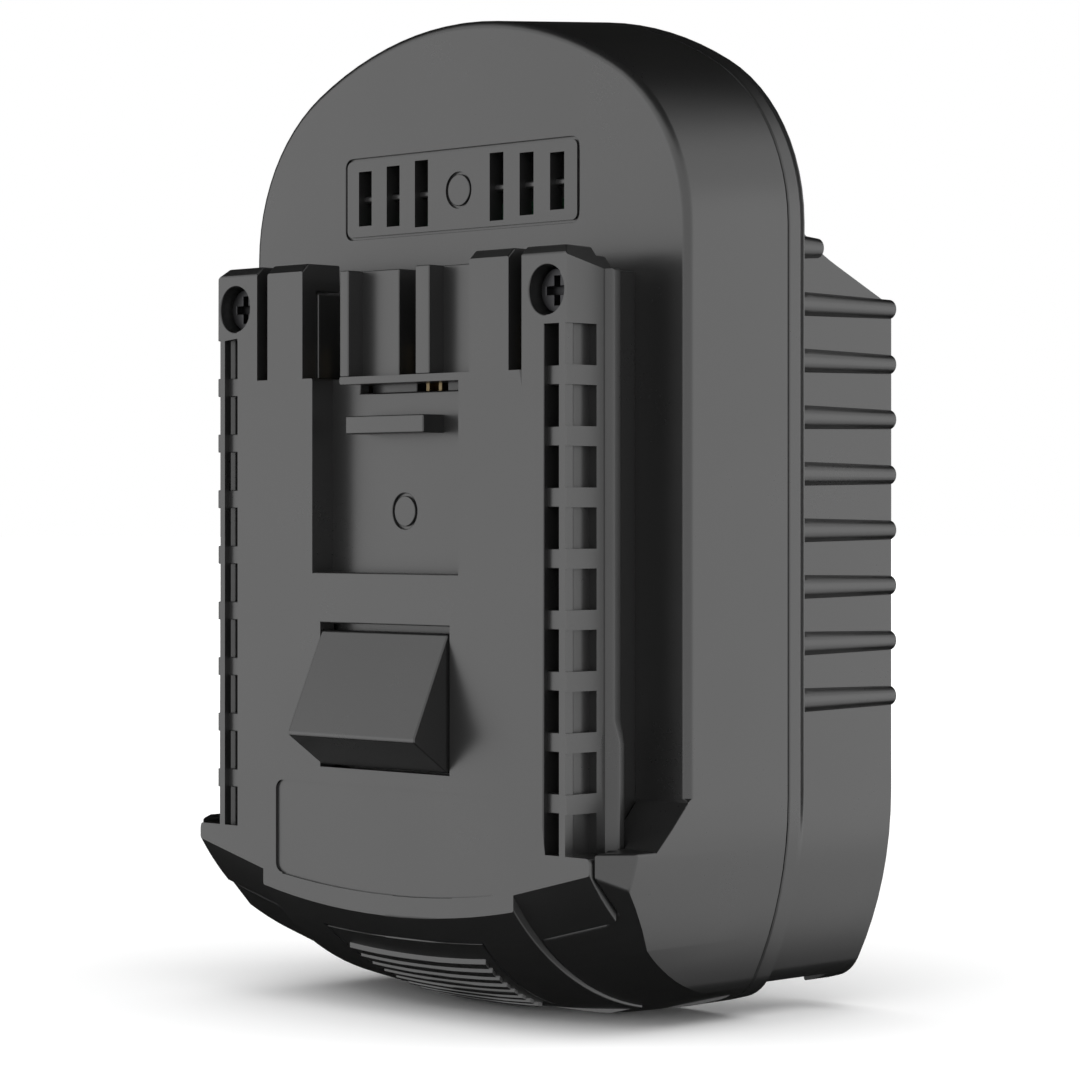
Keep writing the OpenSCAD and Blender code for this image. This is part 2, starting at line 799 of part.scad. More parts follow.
module front_screw_holes() {
    hole_r = screw_r + screw_gap;
    both_sides() {
        bore(plate_screw_x, plate_screw_z, hole_r, face_y - 1, well_y + plate_screw_l + 0.5);
        bore(neck_screw_x, rear_screw_z, hole_r, face_y - 1, face_in_y + 1);
        bore(cap_screw_x, cap_screw_z, hole_r, seat_y - housing_screw_l - 0.5, parting_y + 1);
        bore(wall_screw_x, low_screw_z, hole_r, seat_y - housing_screw_l - 0.5, parting_y + 1);
        bore(bridge_screw_x, spring_z, hole_r, bridge_y + bridge_t - short_screw_l - 0.5, bridge_y + 1);
        for (z = board_screw_zs)
            bore(board_screw_x, z, hole_r, board_back_y - short_screw_l - 0.5, board_y + 1);
    }
}

module front_shell() {
    opening_top_z = plate_screw_z - boss_r - 1;
    lip_reach = plate_half + low_lip_out;
    color(housing_grey)
        placed()
            difference() {
                union() {
                    difference() {
                        front_body();
                        front_cavity();
                        box([-plate_in, plate_in], [0, face_in_y + 1], [chin_top_z, opening_top_z]);
                        box([-tongue_w / 2 - shell_gap, tongue_w / 2 + shell_gap],
                            [0, tongue_y + shell_gap], [-far, chin_top_z + eps]);
                        box([-lip_reach - shell_gap, lip_reach + shell_gap], [0, lip_back_y + shell_gap],
                            [plate_low_z - shell_gap, far]);
                        box([-neck_half - shell_gap, neck_half + shell_gap], [0, face_y],
                            [plate_low_z - shell_gap, far]);
                    }
                    front_bosses();
                }
                vent_cuts();
                front_screw_holes();
            }
}

module receiver_profile() {
    polygon([
        [grip_step_y, 0], [deck_y + base_rise_y, 0], [back_y, base_rise], [back_y, shoulder_back_z],
        each bend([grip_step_y + 1.4 * shoulder_mid_y, shoulder_low(1.4)],
            [grip_step_y + 0.35 * shoulder_mid_y, shoulder_low(0.35)], [grip_step_y, shoulder_top_z], 8)
    ]);
}

module grip_ribs() {
    rib_x = half_w - rib_under - rib_r;
    rib_y = grip_step_y - 0.5;
    rib_l = back_y - rib_y - 0.1;
    short_l = shoulder_mid_y - 0.7;
    both_sides() {
        for (i = [0:rib_count - 1])
            translate([rib_x, rib_y, rib_top_z - i * rib_pitch])
                rotate([0, 0, -atan((rib_r - rib_end_r) / rib_l)])
                    rotate([-90, 0, 0])
                        cylinder(r1 = rib_r, r2 = rib_end_r, h = rib_l);
        translate([rib_x, rib_y, short_rib_z])
            rotate([0, 0, -atan((rib_r - rib_end_r) / short_l)])
                rotate([-90, 0, 0])
                    cylinder(r1 = rib_r, r2 = rib_end_r, h = short_l);
    }
}

module rear_shell() {
    channel_half = channel_w / 2;
    lip_y = back_y - channel_lip_t;
    color(housing_grey)
        placed()
            difference() {
                union() {
                    difference() {
                        union() {
                            body_slice(parting_y, parting_y + parting_gap + eps, parting_depth);
                            body_slice(parting_y + parting_gap, grip_step_y, 0);
                            body_slice(grip_step_y - eps, deck_y, grip_inset);
                            intersection() {
                                along_y(grip_step_y, back_y)
                                    body_outline(grip_inset);
                                along_x(-far, far)
                                    receiver_profile();
                            }
                            grip_ribs();
                        }
                        body_slice(parting_y - 1, deck_in_y, wall);
                        box([-channel_half, channel_half], [deck_y, lip_y], [-far, channel_top_z]);
                        box([-lip_gap_w / 2, lip_gap_w / 2], [lip_y - eps, far], [-far, channel_top_z]);
                    }
                    both_sides() {
                        bore(cap_screw_x, cap_screw_z, head_r + boss_t, parting_y, deck_in_y + eps);
                        bore(wall_screw_x, low_screw_z, boss_r, parting_y, deck_in_y + eps);
                    }
                }
                for (p = housing_screw_places) {
                    bore(p[0], p[1], screw_r + screw_gap, parting_y - 1, far);
                    bore(p[0], p[1], head_r + run_gap, seat_y, far);
                }
                box([-catch_w / 2, catch_w / 2], [deck_y - catch_depth, deck_y + 1],
                    [catch_z, catch_z + catch_h]);
                for (x = [-blade_x, -signal_blade_x, signal_blade_x, blade_x])
                    box([x - blade_t / 2 - run_gap, x + blade_t / 2 + run_gap], [parting_y, deck_y + 1],
                        [tail_z - run_gap, tail_z + tail_h + run_gap]);
            }
}

// Slide plate

module plate_rails() {
    rail_top_z = plate_top_z - 1.6;
    reach_x = plate_half + low_lip_out + 1;
    both_sides() {
        box([plate_in, plate_half], [0, lip_back_y], [plate_low_z, plate_top_z]);
        box([plate_in, neck_half], [rail_y, face_y], [plate_low_z, rail_top_z]);
        intersection() {
            along_y(rail_y, lip_back_y)
                polygon([
                    [plate_in, plate_low_z], [plate_half + low_lip_out, plate_low_z],
                    [plate_half + low_lip_out, lip_step_z - lip_ramp_h],
                    [plate_half + rail_lip_out, lip_step_z], [plate_half + rail_lip_out, rail_top_z],
                    [plate_in, rail_top_z]
                ]);
            translate([0, 0, plate_low_z - 1])
                linear_extrude(plate_top_z - plate_low_z)
                    polygon([
                        [plate_in - 1, rail_y - 1], [plate_half, rail_y - 1], [plate_half, rail_y],
                        [reach_x, rail_y + (reach_x - plate_half) * lip_slope],
                        [reach_x, lip_back_y + 1], [plate_in - 1, lip_back_y + 1]
                    ]);
        }
    }
}

module ladder_cuts() {
    rim_x = window_x + window_w;
    run_low_z = window_top_z - (window_count - 1) * window_pitch - window_h;
    both_sides() {
        box([window_x, rim_x], [-1, rung_drop], [run_low_z, window_top_z]);
        for (i = [0:window_count - 1]) {
            z = window_top_z - i * window_pitch;
            translate([0, 0, z - window_h])
                linear_extrude(window_h)
                    polygon([
                        [window_x, -1], [rim_x, -1], [rim_x, side_rim_y - window_web],
                        [rim_x - window_web, side_rim_y],
                        [rim_x - window_web, window_depth], [window_x, window_depth]
                    ]);
            box([rim_x, far], [side_rim_y, side_pocket_y], [z - window_h, z]);
            box([plate_half - side_rim_in, far], [-1, side_pocket_y], [z - window_h, z]);
        }
    }
}

// The sloped upper ends of the rails, over which the tool's rails come on
module rail_end_cuts() {
    both_sides()
        intersection() {
            translate([plate_half, 0, plate_top_z])
                rotate([-rail_end_angle, 0, 0])
                    rotate([0, rail_corner_angle, 0])
                        translate([-plate_t * 4, -plate_t * 4, 0])
                            cube(plate_t * 8);
            box([0, plate_half + eps], [-far, far], [0, far]);
        }
}

module chin_slab() {
    tip = chin_tip_w / 2;
    half = tongue_w / 2;
    back = chin_shell_y - shell_gap;
    both_sides()
        intersection() {
            along_y(0, back)
                polygon(concat(
                    [[half - 1, chin_top_z]],
                    arc([tip - chin_tip_r, chin_top_z - chin_tip_r], chin_tip_r, 90, 0, 5),
                    [[tip, chin_axis_z - wing_r], [half - 1, chin_axis_z - wing_r]]
                ));
            wing_space(wing_r);
        }
    intersection() {
        box([-half, half], [0, back], [0, chin_top_z]);
        union() {
            chin_ring(chin_r, wing_r - 4, half);
            box([-half, half], [0, far], [chin_axis_z - wing_r / 2, far]);
        }
    }
}

module tongue() {
    intersection() {
        chin_ring(chin_r, pad_back_r, tongue_w / 2);
        box([-far, far], [0, tongue_y], [0, chin_top_z]);
    }
}

// A block along the press direction with the button's tapered outline, grown by a margin
module button_prism(grow) {
    middle = on_chin(chin_r, 0);
    translate([0, middle[0], middle[1]])
        rotate([-press_angle, 0, 0])
            translate([0, 0, -chin_r / 6])
                linear_extrude(chin_r)
                    polygon(mirrored([
                        [button_front_w / 2 + grow, -button_front - grow],
                        [button_back_w / 2 + grow, button_back + grow]
                    ]));
}

module label_outline() {
    label_h = label_top_z - label_low_z;
    bulge_r = (label_half_w * label_half_w + label_bulge * label_bulge) / (2 * label_bulge);
    corner_r = 1.2;
    translate([0, (label_top_z + label_low_z) / 2])
        rounded_panel(2 * label_half_w, label_h, corner_r);
    intersection() {
        translate([0, label_low_z - label_bulge + bulge_r])
            circle(bulge_r, $fn = 360);
        translate([-label_half_w + corner_r, label_low_z - label_bulge])
            square([2 * (label_half_w - corner_r), label_bulge + label_h / 2]);
    }
}

module terminal_cuts() {
    for (s = [-1, 1])
        box([s * power_slot_x - power_slot_w / 2, s * power_slot_x + power_slot_w / 2], [-1, face_y],
            [slot_low_z, far]);
    box([-bay_half, bay_half], [-1, face_y + 1], [slot_low_z, far]);
}

module recess_cuts() {
    half = recess_w / 2;
    box([-half, half], [-1, recess_depth], [recess_low_z, bar_low_z]);
    box([-half, -post_out_x], [-1, recess_depth], [recess_low_z, slot_low_z + 1]);
    box([-post_out_x, half], [recess_depth - 1, far], [bar_low_z - bar_slot_h, bar_low_z]);
    round_mark(recess_mark_r, recess_depth, recess_mark_z);
}

module rail_plate() {
    color(housing_grey)
        placed()
            difference() {
                union() {
                    difference() {
                        union() {
                            box([-plate_half, plate_half], [0, plate_t], [plate_low_z, plate_top_z]);
                            along_x(-plate_half, plate_half)
                                polygon([
                                    [0, plate_top_z - plate_t], [0, plate_top_z],
                                    [plate_roof, plate_top_z + plate_roof],
                                    [rail_y, plate_top_z + plate_roof], [rail_y, plate_top_z - plate_t]
                                ]);
                            plate_rails();
                            box([-bay_half, bay_half], [0, recess_back_y], [recess_low_z - 2, slot_low_z]);
                            both_sides()
                                intersection() {
                                    bore(plate_screw_x, plate_screw_z, well_r + 0.8, 0, face_y);
                                    box([0, neck_half], [0, face_y], [0, plate_top_z - 1.6]);
                                }
                        }
                        recess_cuts();
                    }
                    box([-shelf_w / 2, shelf_w / 2], [0, recess_back_y], [shelf_z, shelf_z + shelf_t]);
                    chin_slab();
                    tongue();
                }
                ladder_cuts();
                terminal_cuts();
                rail_end_cuts();
                both_sides() {
                    bore(plate_screw_x, plate_screw_z, well_r, -1, well_y);
                    bore(plate_screw_x, plate_screw_z, screw_r + screw_gap, -1, face_y + 1);
                    bore(neck_screw_x, rear_screw_z, screw_r + screw_gap,
                        face_in_y - short_screw_l - 0.5, face_y + 1);
                }
                box([-window_half, window_half], [-1, plate_t + 1],
                    [tooth_low_z - run_gap, tooth_top_z + tooth_top_gap]);
                along_y(-1, label_depth)
                    label_outline();
                button_prism(run_gap);
                intersection() {
                    button_prism(button_flange + run_gap);
                    translate([-far, chin_axis_y, chin_axis_z])
                        rotate([0, 90, 0])
                            cylinder(r = pad_back_r, h = 2 * far, $fn = 180);
                }
            }
}

// Contacts

module contact_carrier() {
    back_y0 = face_y;
    top_low = plate_top_z - plate_t - run_gap;
    color(inner_black)
        placed()
            difference() {
                union() {
                    box([-carrier_half, carrier_half], [plate_t, back_y0], [carrier_low_z, top_low]);
                    box([-bay_half + run_gap, bay_half - run_gap], [plate_t, back_y0],
                        [slot_low_z, plate_top_z - run_gap]);
                    box([-post_out_x, left_post_x], [0, plate_t + 1], [slot_low_z, plate_top_z - run_gap]);
                    box([right_post_x, post_out_x], [0, plate_t + 1], [slot_low_z, plate_top_z - run_gap]);
                }
                box([-bay_half - run_gap, bay_half + run_gap], [0, recess_back_y + run_gap],
                    [0, slot_low_z]);
                both_sides()
                    bore(plate_screw_x, plate_screw_z, well_r + 0.8 + run_gap, 0, far);
                for (s = [-1, 1])
                    box([s * power_slot_x - 2.2, s * power_slot_x + 2.2], [0, plate_t + slot_depth],
                        [carrier_low_z + 2, far]);
                box([-bay_half + run_gap - eps, -post_out_x], [0, plate_t + slot_depth],
                    [carrier_low_z + 2, far]);
                box([right_post_x - signal_slot_w, right_post_x], [0, plate_t + slot_depth],
                    [carrier_low_z + 2, far]);
                for (x = contact_tail_xs())
                    box([x - tail_w / 2 - run_gap, x + tail_w / 2 + run_gap], [plate_t + slot_depth - 1, far],
                        [contact_tail_z - run_gap, contact_tail_z + strip_t + run_gap]);
            }
}

function signal_xs() = [-(bay_half + post_out_x) / 2, right_post_x - signal_slot_w / 2];

function contact_tail_xs() = concat([-power_slot_x, power_slot_x], signal_xs());

// A fork of two leaves on a back strip, with a flat tail to the board
module fork_contact(x, leaf_y, low_z, top_z) {
    back = plate_t + slot_depth;
    translate([x, 0, 0]) {
        for (s = [-1, 1])
            box([s * leaf_x - strip_t / 2, s * leaf_x + strip_t / 2], [leaf_y, back], [low_z, top_z]);
        box([-leaf_x - strip_t / 2, leaf_x + strip_t / 2], [back - strip_t, back], [low_z, top_z]);
        box([-tail_w / 2, tail_w / 2], [back - strip_t, board_back_y + strip_t],
            [contact_tail_z, contact_tail_z + strip_t]);
    }
}

module power_contact(side) {
    color(brass)
        placed()
            fork_contact(side * power_slot_x, plate_t + leaf_back, contact_low_z, slot_low_z + fork_up);
}

module tool_contact_positive() {
    power_contact(1);
}

module tool_contact_negative() {
    power_contact(-1);
}

module signal_contacts() {
    color(brass)
        placed()
            for (x = signal_xs())
                fork_contact(x, recess_back_y + 2 * run_gap, contact_low_z, slot_low_z + signal_fork_up);
}

// Latch and release button

module latch() {
    crest = tooth_crest_flat / 2;
    lug_x = tooth_half - 3;
    color(housing_grey)
        placed()
            difference() {
                union() {
                    along_x(-tooth_half, tooth_half)
                        polygon([
                            [flange_y + eps, tooth_low_z], [0, tooth_low_z],
                            [-tooth_proud, tooth_crest_z - crest], [-tooth_proud, tooth_crest_z + crest],
                            [0, tooth_top_z], [flange_y + eps, tooth_top_z]
                        ]);
                    box([-tooth_half, tooth_half], [flange_y, flange_back_y],
                        [tooth_low_z - 1.6, flange_top_z]);
                    box([-tooth_half - flange_out, tooth_half + flange_out], [flange_y, flange_back_y],
                        [flange_wide_z, flange_top_z]);
                    both_sides()
                        box([lug_x, tooth_half], [flange_back_y - eps, pin_y + pin_r + 1.6],
                            [pin_z - pin_r - 1.8, pin_z + pin_r + 1.8]);
                    for (s = [-1, 1])
                        bore(s * spring_x, spring_z, spigot_r, flange_y, flange_back_y + spigot_l);
                }
                translate([-far, pin_y, pin_z])
                    rotate([0, 90, 0])
                        cylinder(r = pin_r, h = 2 * far);
            }
}

module latch_pin() {
    length = 2 * (arm_out_x + 0.6);
    color(steel)
        placed()
            translate([-length / 2, pin_y, pin_z])
                rotate([0, 90, 0])
                    cylinder(r = pin_r, h = length);
}

spring_from = flange_back_y + 0.05;
spring_to = bridge_y - 0.05;
spring_rings = 8 * spring_turns;
spring_sides = 6;

// Point and ring of the spring's wire, wound round Y
function spring_point(k) =
    let (t = k / spring_rings, a = 360 * spring_turns * t, l = spring_to - spring_from - 2 * spring_wire_r)
    [spring_r * cos(a), spring_from + spring_wire_r + l * t, spring_r * sin(a)];

function spring_ring(k) =
    let (a = 360 * spring_turns * k / spring_rings, c = spring_point(k))
    [for (j = [0:spring_sides - 1]) let (b = 360 * j / spring_sides)
        c + spring_wire_r * [cos(b) * cos(a), sin(b), cos(b) * sin(a)]];

spring_points = [for (k = [0:spring_rings]) each spring_ring(k)];
spring_faces = concat(
    [[for (j = [0:spring_sides - 1]) j]],
    [for (k = [0:spring_rings - 1], j = [0:spring_sides - 1])
        let (n = spring_sides, a = k * n + j, b = k * n + (j + 1) % n)
        each [[a, a + n, b], [b, a + n, b + n]]],
    [[for (j = [spring_sides - 1:-1:0]) spring_rings * spring_sides + j]]
);
spring_turn_gap = norm(spring_point(8) - spring_point(0)) - 2 * spring_wire_r;
echo(spring_turn_gap = spring_turn_gap);

module latch_springs() {
    color(steel)
        placed()
            for (s = [-1, 1])
                translate([s * spring_x, 0, spring_z])
                    polyhedron(spring_points, spring_faces);
}

module spring_bridge() {
    color(inner_black)
        placed()
            difference() {
                union() {
                    box([-bridge_half, bridge_half], [bridge_y, bridge_y + bridge_t],
                        [spring_z - bridge_h / 2, spring_z + bridge_h / 2]);
                    for (s = [-1, 1])
                        bore(s * spring_x, spring_z, spigot_r, bridge_y - spigot_l, bridge_y + 1);
                }
                both_sides()
                    bore(bridge_screw_x, spring_z, screw_r + screw_gap, bridge_y - 1, far);
            }
}

module cam_slot() {
    slot_r = pin_r + run_gap;
    slot_l = norm([slot_dy, slot_dz]);
    translate([-far, pin_y, pin_z])
        rotate([atan2(slot_dz, slot_dy), 0, 0]) {
            for (y = [0, slot_l])
                translate([0, y, 0])
                    rotate([0, 90, 0])
                        cylinder(r = slot_r, h = 2 * far);
            translate([0, 0, -slot_r])
                cube([2 * far, slot_l, 2 * slot_r]);
        }
}

module button_arms() {
    slot_end = [pin_y + slot_dy, pin_z + slot_dz];
    edge = pin_r + run_gap + 1.5;
    foot = on_chin(pad_back_r - 1, -13);
    heel = on_chin(pad_back_r - 1, -4);
    both_sides()
        along_x(arm_x, arm_out_x)
            polygon([
                foot, heel, [slot_end[0] + edge, slot_end[1] - edge], [slot_end[0] + edge, slot_end[1] + edge],
                [pin_y + 1, arm_top_z], [pin_y - edge, arm_top_z], [pin_y - edge, pin_z - 4]
            ]);
}

module button_ridges() {
    ridge_angle = atan(ridge_pitch / chin_r);
    first = -(ridge_count / 2 - 1.2) * ridge_angle;
    intersection() {
        chin_ring(chin_r + ridge_h, chin_r - 1, button_front_w / 2);
        button_prism(-ridge_margin);
        union()
            for (i = [0:ridge_count - 1])
                let (y = chin_axis_y - chin_r * sin(press_angle - first - i * ridge_angle))
                    box([-far, far], [y, y + ridge_w], [-far, chin_axis_z]);
    }
}

module release_button() {
    color(housing_grey)
        placed()
            difference() {
                union() {
                    intersection() {
                        chin_ring(chin_r, pad_back_r - run_gap - 1.2, button_front_w);
                        button_prism(0);
                    }
                    intersection() {
                        chin_ring(pad_back_r - run_gap, pad_back_r - run_gap - 1.2, button_front_w);
                        button_prism(button_flange);
                    }
                    button_ridges();
                    button_arms();
                }
                cam_slot();
            }
}

// Board

module circuit_board() {
    color([0.1, 0.35, 0.2])
        placed()
            difference() {
                box([-board_w / 2, board_w / 2], [board_y, board_back_y], [board_z, board_top_z]);
                both_sides()
                    for (z = board_screw_zs)
                        bore(board_screw_x, z, screw_r + screw_gap, board_y - 1, far);
                for (x = contact_tail_xs())
                    box([x - tail_w / 2 - screw_gap, x + tail_w / 2 + screw_gap], [board_y - 1, far],
                        [contact_tail_z - screw_gap, contact_tail_z + strip_t + screw_gap]);
                for (x = [-blade_x, -signal_blade_x, signal_blade_x, blade_x])
                    box([x - blade_t / 2 - screw_gap, x + blade_t / 2 + screw_gap], [board_y - 1, far],
                        [tail_z - screw_gap, tail_z + tail_h + screw_gap]);
            }
}

module power_transistors() {
    z = board_top_z - transistor_drop - transistor_h;
    color(inner_black)
        placed()
            for (s = [-1, 1])
                box([s * transistor_x - transistor_w / 2, s * transistor_x + transistor_w / 2],
                    [board_back_y, board_back_y + transistor_t], [z, z + transistor_h]);
}

module capacitor() {
    z = board_z + capacitor_r + 0.6;
    color([0.15, 0.18, 0.3])
        placed()
            translate([capacitor_x - capacitor_l / 2, board_back_y + capacitor_r, z])
                rotate([0, 90, 0])
                    cylinder(r = capacitor_r, h = capacitor_l);
}

// Battery terminals

module battery_blade(x) {
    placed() {
        box([x - blade_t / 2, x + blade_t / 2], [blade_y, blade_y + blade_depth],
            [block_low_z - blade_l, tail_z + tail_h]);
        box([x - blade_t / 2, x + blade_t / 2], [board_y - 0.6, blade_y + 1], [tail_z, tail_z + tail_h]);
    }
}

module battery_terminal_block() {
    color(inner_black)
        placed()
            difference() {
                box([-block_w / 2, block_w / 2], [deck_y, deck_y + block_t], [block_low_z, channel_top_z]);
                for (x = [-blade_x, -signal_blade_x, signal_blade_x, blade_x]) {
                    box([x - blade_t / 2 - screw_gap, x + blade_t / 2 + screw_gap],
                        [blade_y - screw_gap, blade_y + blade_depth + screw_gap],
                        [-far, tail_z + tail_h + screw_gap]);
                    box([x - blade_t / 2 - screw_gap, x + blade_t / 2 + screw_gap], [deck_y - 1, blade_y + 1],
                        [tail_z - screw_gap, tail_z + tail_h + screw_gap]);
                }
            }
}

module battery_blade_positive() {
    color(brass)
        battery_blade(blade_x);
}

module battery_blade_negative() {
    color(brass)
        battery_blade(-blade_x);
}

module battery_signal_blades() {
    color(brass)
        for (s = [-1, 1])
            battery_blade(s * signal_blade_x);
}

// Screws

module plate_screws() {
    color(steel)
        placed()
            for (s = [-1, 1])
                translate([s * plate_screw_x, well_y, plate_screw_z])
                    screw(plate_screw_l);
}

module plate_rear_screws() {
    color(steel)
        placed()
            for (s = [-1, 1])
                back_screw(s * neck_screw_x, face_in_y, rear_screw_z, short_screw_l);
}

module bridge_screws() {
    color(steel)
        placed()
            for (s = [-1, 1])
                back_screw(s * bridge_screw_x, bridge_y + bridge_t, spring_z, short_screw_l);
}

module board_screws() {
    color(steel)
        placed()
            for (s = [-1, 1], z = board_screw_zs)
                back_screw(s * board_screw_x, board_back_y, z, short_screw_l);
}

module housing_screws() {
    color(steel)
        placed()
            for (p = housing_screw_places)
                back_screw(p[0], seat_y, p[1], housing_screw_l);
}

front_shell();
rear_shell();
rail_plate();
contact_carrier();
tool_contact_positive();
tool_contact_negative();
signal_contacts();
latch();
latch_pin();
latch_springs();
spring_bridge();
release_button();
circuit_board();
power_transistors();
capacitor();
battery_terminal_block();
battery_blade_positive();
battery_blade_negative();
battery_signal_blades();
plate_screws();
plate_rear_screws();
bridge_screws();
board_screws();
housing_screws();
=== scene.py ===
"""Looks of a tool battery adapter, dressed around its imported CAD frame.

X runs across, Y from the tool side to the battery side and Z up. Sizes in the classes are in
millimetres where their names end in mm, and everything that goes into a mesh is in metres.
"""

import logging
import math
from collections.abc import Iterator
from contextlib import contextmanager
from dataclasses import dataclass
from enum import Enum
from typing import Callable, Union

import bmesh
import bpy
import numpy as np
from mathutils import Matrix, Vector

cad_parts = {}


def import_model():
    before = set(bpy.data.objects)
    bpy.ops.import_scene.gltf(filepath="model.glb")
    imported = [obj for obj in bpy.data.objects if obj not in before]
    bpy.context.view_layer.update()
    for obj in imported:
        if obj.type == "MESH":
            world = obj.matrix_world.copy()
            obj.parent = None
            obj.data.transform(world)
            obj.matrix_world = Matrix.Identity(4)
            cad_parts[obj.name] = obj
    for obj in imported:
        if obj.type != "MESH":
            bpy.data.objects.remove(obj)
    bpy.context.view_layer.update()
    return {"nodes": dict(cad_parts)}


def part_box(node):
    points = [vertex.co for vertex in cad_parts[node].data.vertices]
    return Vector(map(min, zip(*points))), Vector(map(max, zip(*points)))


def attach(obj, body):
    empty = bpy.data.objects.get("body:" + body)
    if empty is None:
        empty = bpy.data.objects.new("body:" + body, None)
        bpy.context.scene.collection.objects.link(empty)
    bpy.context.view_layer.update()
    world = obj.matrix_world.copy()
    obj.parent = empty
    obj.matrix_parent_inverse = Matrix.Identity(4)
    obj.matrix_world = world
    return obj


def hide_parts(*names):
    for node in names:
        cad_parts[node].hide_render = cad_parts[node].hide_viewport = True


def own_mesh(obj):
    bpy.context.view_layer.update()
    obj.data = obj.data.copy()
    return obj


LOG = logging.getLogger("adapter")
MM = 0.001
IMAGE_W = 1080

# Limits of the mesh work
TINY_M = 1e-9  # keeps a division by a length off zero
SAME_PLACE_M = 1e-7  # points that are nearer count as one
SETTLED_M = 1e-8  # a smaller change of a width counts as none
OPEN_ROOM_M = 1.0  # the room of an edge without neighbours
FOLD_MM2 = 0.002  # a smaller fold in a face counts as none
OWN_SHARE = 1e-12  # what a corner's own face adds to its normal, so that no sum is zero

# Cosines between directions
SIDEWAYS = 0.9  # an edge leaves another one sideways under this
ONWARD = 0.8  # an edge runs on in another one past this
AHEAD = 0.7  # a way leads into a face past this

Nodes = dict[str, bpy.types.Object]
Colour = tuple[float, float, float, float]
Value = Union["Wire", float, Colour, tuple[float, float, float]]


class Body(Enum):
    """The bodies that pieces ride on."""

    HOUSING = "housing"
    LATCH = "latch_slider"
    BUTTON = "button"


class Slot(Enum):
    """The record's material slots."""

    HOUSING = "housing"
    INNER = "inner_plastic"
    CONTACT = "contact"
    STEEL = "steel"
    BOARD = "board"
    CAN = "capacitor_can"


# Shader maths


class Wire:
    """One output socket of a node tree, with operators that add Math nodes."""

    def __init__(self, sheet: "NodeSheet", socket: bpy.types.NodeSocket) -> None:
        """Keep the sheet and the socket that this value stands for."""
        self.sheet = sheet
        self.socket = socket

    def _math(self, operation: str, left: Value, right: Value) -> "Wire":
        """Add a Math node of two values."""
        return self.sheet.add("ShaderNodeMath", {"operation": operation}, {0: left, 1: right})

    def __add__(self, other: Value) -> "Wire":
        """Sum of two values."""
        return self._math("ADD", self, other)

    def __sub__(self, other: Value) -> "Wire":
        """Difference of two values."""
        return self._math("SUBTRACT", self, other)

    def __rsub__(self, other: Value) -> "Wire":
        """Difference with this value on the right."""
        return self._math("SUBTRACT", other, self)

    def __mul__(self, other: Value) -> "Wire":
        """Product of two values."""
        return self._math("MULTIPLY", self, other)

    def __gt__(self, other: Value) -> "Wire":
        """One where this value is the greater, or else zero."""
        return self._math("GREATER_THAN", self, other)

    __radd__ = __add__
    __rmul__ = __mul__

    def swing(self, amount: float) -> "Wire":
        """A noise from 0 to 1, brought to swing about zero by half an amount to each side."""
        return (self - 0.5) * amount


class NodeSheet:
    """A node tree that is filled node by node."""

    def __init__(self, owner: Union[bpy.types.Material, bpy.types.World]) -> None:
        """Start an empty tree on a material or world."""
        owner.use_nodes = True
        self.tree = owner.node_tree
        self.tree.nodes.clear()

    def add(
        self,
        kind: str,
        settings: dict[str, object] | None = None,
        sockets: dict[int | str, Value] | None = None,
        output: int | str = 0,
    ) -> Wire:
        """Add a node.

        Args:
            kind: the node's type.
            settings: properties to set before anything is linked.
            sockets: values or wires for its inputs.
            output: which output to return.

        Returns:
            The chosen output as a wire.
        """
        node = self.tree.nodes.new(kind)
        for key, value in (settings or {}).items():
            setattr(node, key, value)
        for key, value in (sockets or {}).items():
            if isinstance(value, Wire):
                self.tree.links.new(value.socket, node.inputs[key])
            else:
                node.inputs[key].default_value = value
        return Wire(self, node.outputs[output])

    def place(self) -> Wire:
        """Object coordinates."""
        return self.add("ShaderNodeTexCoord", output="Object")

    def part(self, place: Wire, axis: str) -> Wire:
        """The X, Y or Z of a place."""
        return self.add("ShaderNodeSeparateXYZ", {}, {"Vector": place}, axis)

    def stretched(self, place: Wire, scale: tuple[float, float, float]) -> Wire:
        """A place stretched along the axes."""
        return self.add("ShaderNodeMapping", {}, {"Vector": place, "Scale": scale})

    def noise(self, place: Wire, size_mm: float, detail: float = 2.0) -> Wire:
        """Noise from 0 to 1 whose blots are about size_mm wide."""
        sockets = {"Vector": place, "Scale": 1 / (size_mm * MM), "Detail": detail}
        return self.add("ShaderNodeTexNoise", {}, sockets)

    def shade(self, factor: Value, dark: Colour, light: Colour) -> Wire:
        """A colour between two shades."""
        return self.add("ShaderNodeMix", {"data_type": "RGBA"}, {0: factor, 6: dark, 7: light}, 2)

    def bump(self, height: Wire, depth_mm: float, strength: float, base: Wire | None = None) -> Wire:
        """Tilt the normal by a height.

        Args:
            height: the height, from 0 to 1.
            depth_mm: how deep a height of 1 is.
            strength: the share of the tilt that is used.
            base: another normal to start from.

        Returns:
            The tilted normal.
        """
        sockets = {"Height": height, "Distance": depth_mm * MM, "Strength": strength}
        if base is not None:
            sockets["Normal"] = base
        return self.add("ShaderNodeBump", {}, sockets, "Normal")

    def fade(self, value: Wire, full: float, none: float) -> Wire:
        """A smooth step from 1, where a value is at most full, down to 0, where it is at least none."""
        return self.add(
            "ShaderNodeMapRange",
            {"interpolation_type": "SMOOTHSTEP"},
            {"Value": value, "From Min": full, "From Max": none, "To Min": 1.0, "To Max": 0.0},
        )

    def surface(self, shader: Wire, target: str = "ShaderNodeOutputMaterial") -> None:
        """Add an output node and send a shader to it."""
        node = self.tree.nodes.new(target)
        self.tree.links.new(shader.socket, node.inputs["Surface"])


def grey(level: float) -> Colour:
    """A grey of a linear level."""
    return (level, level, level, 1.0)


# Finishes


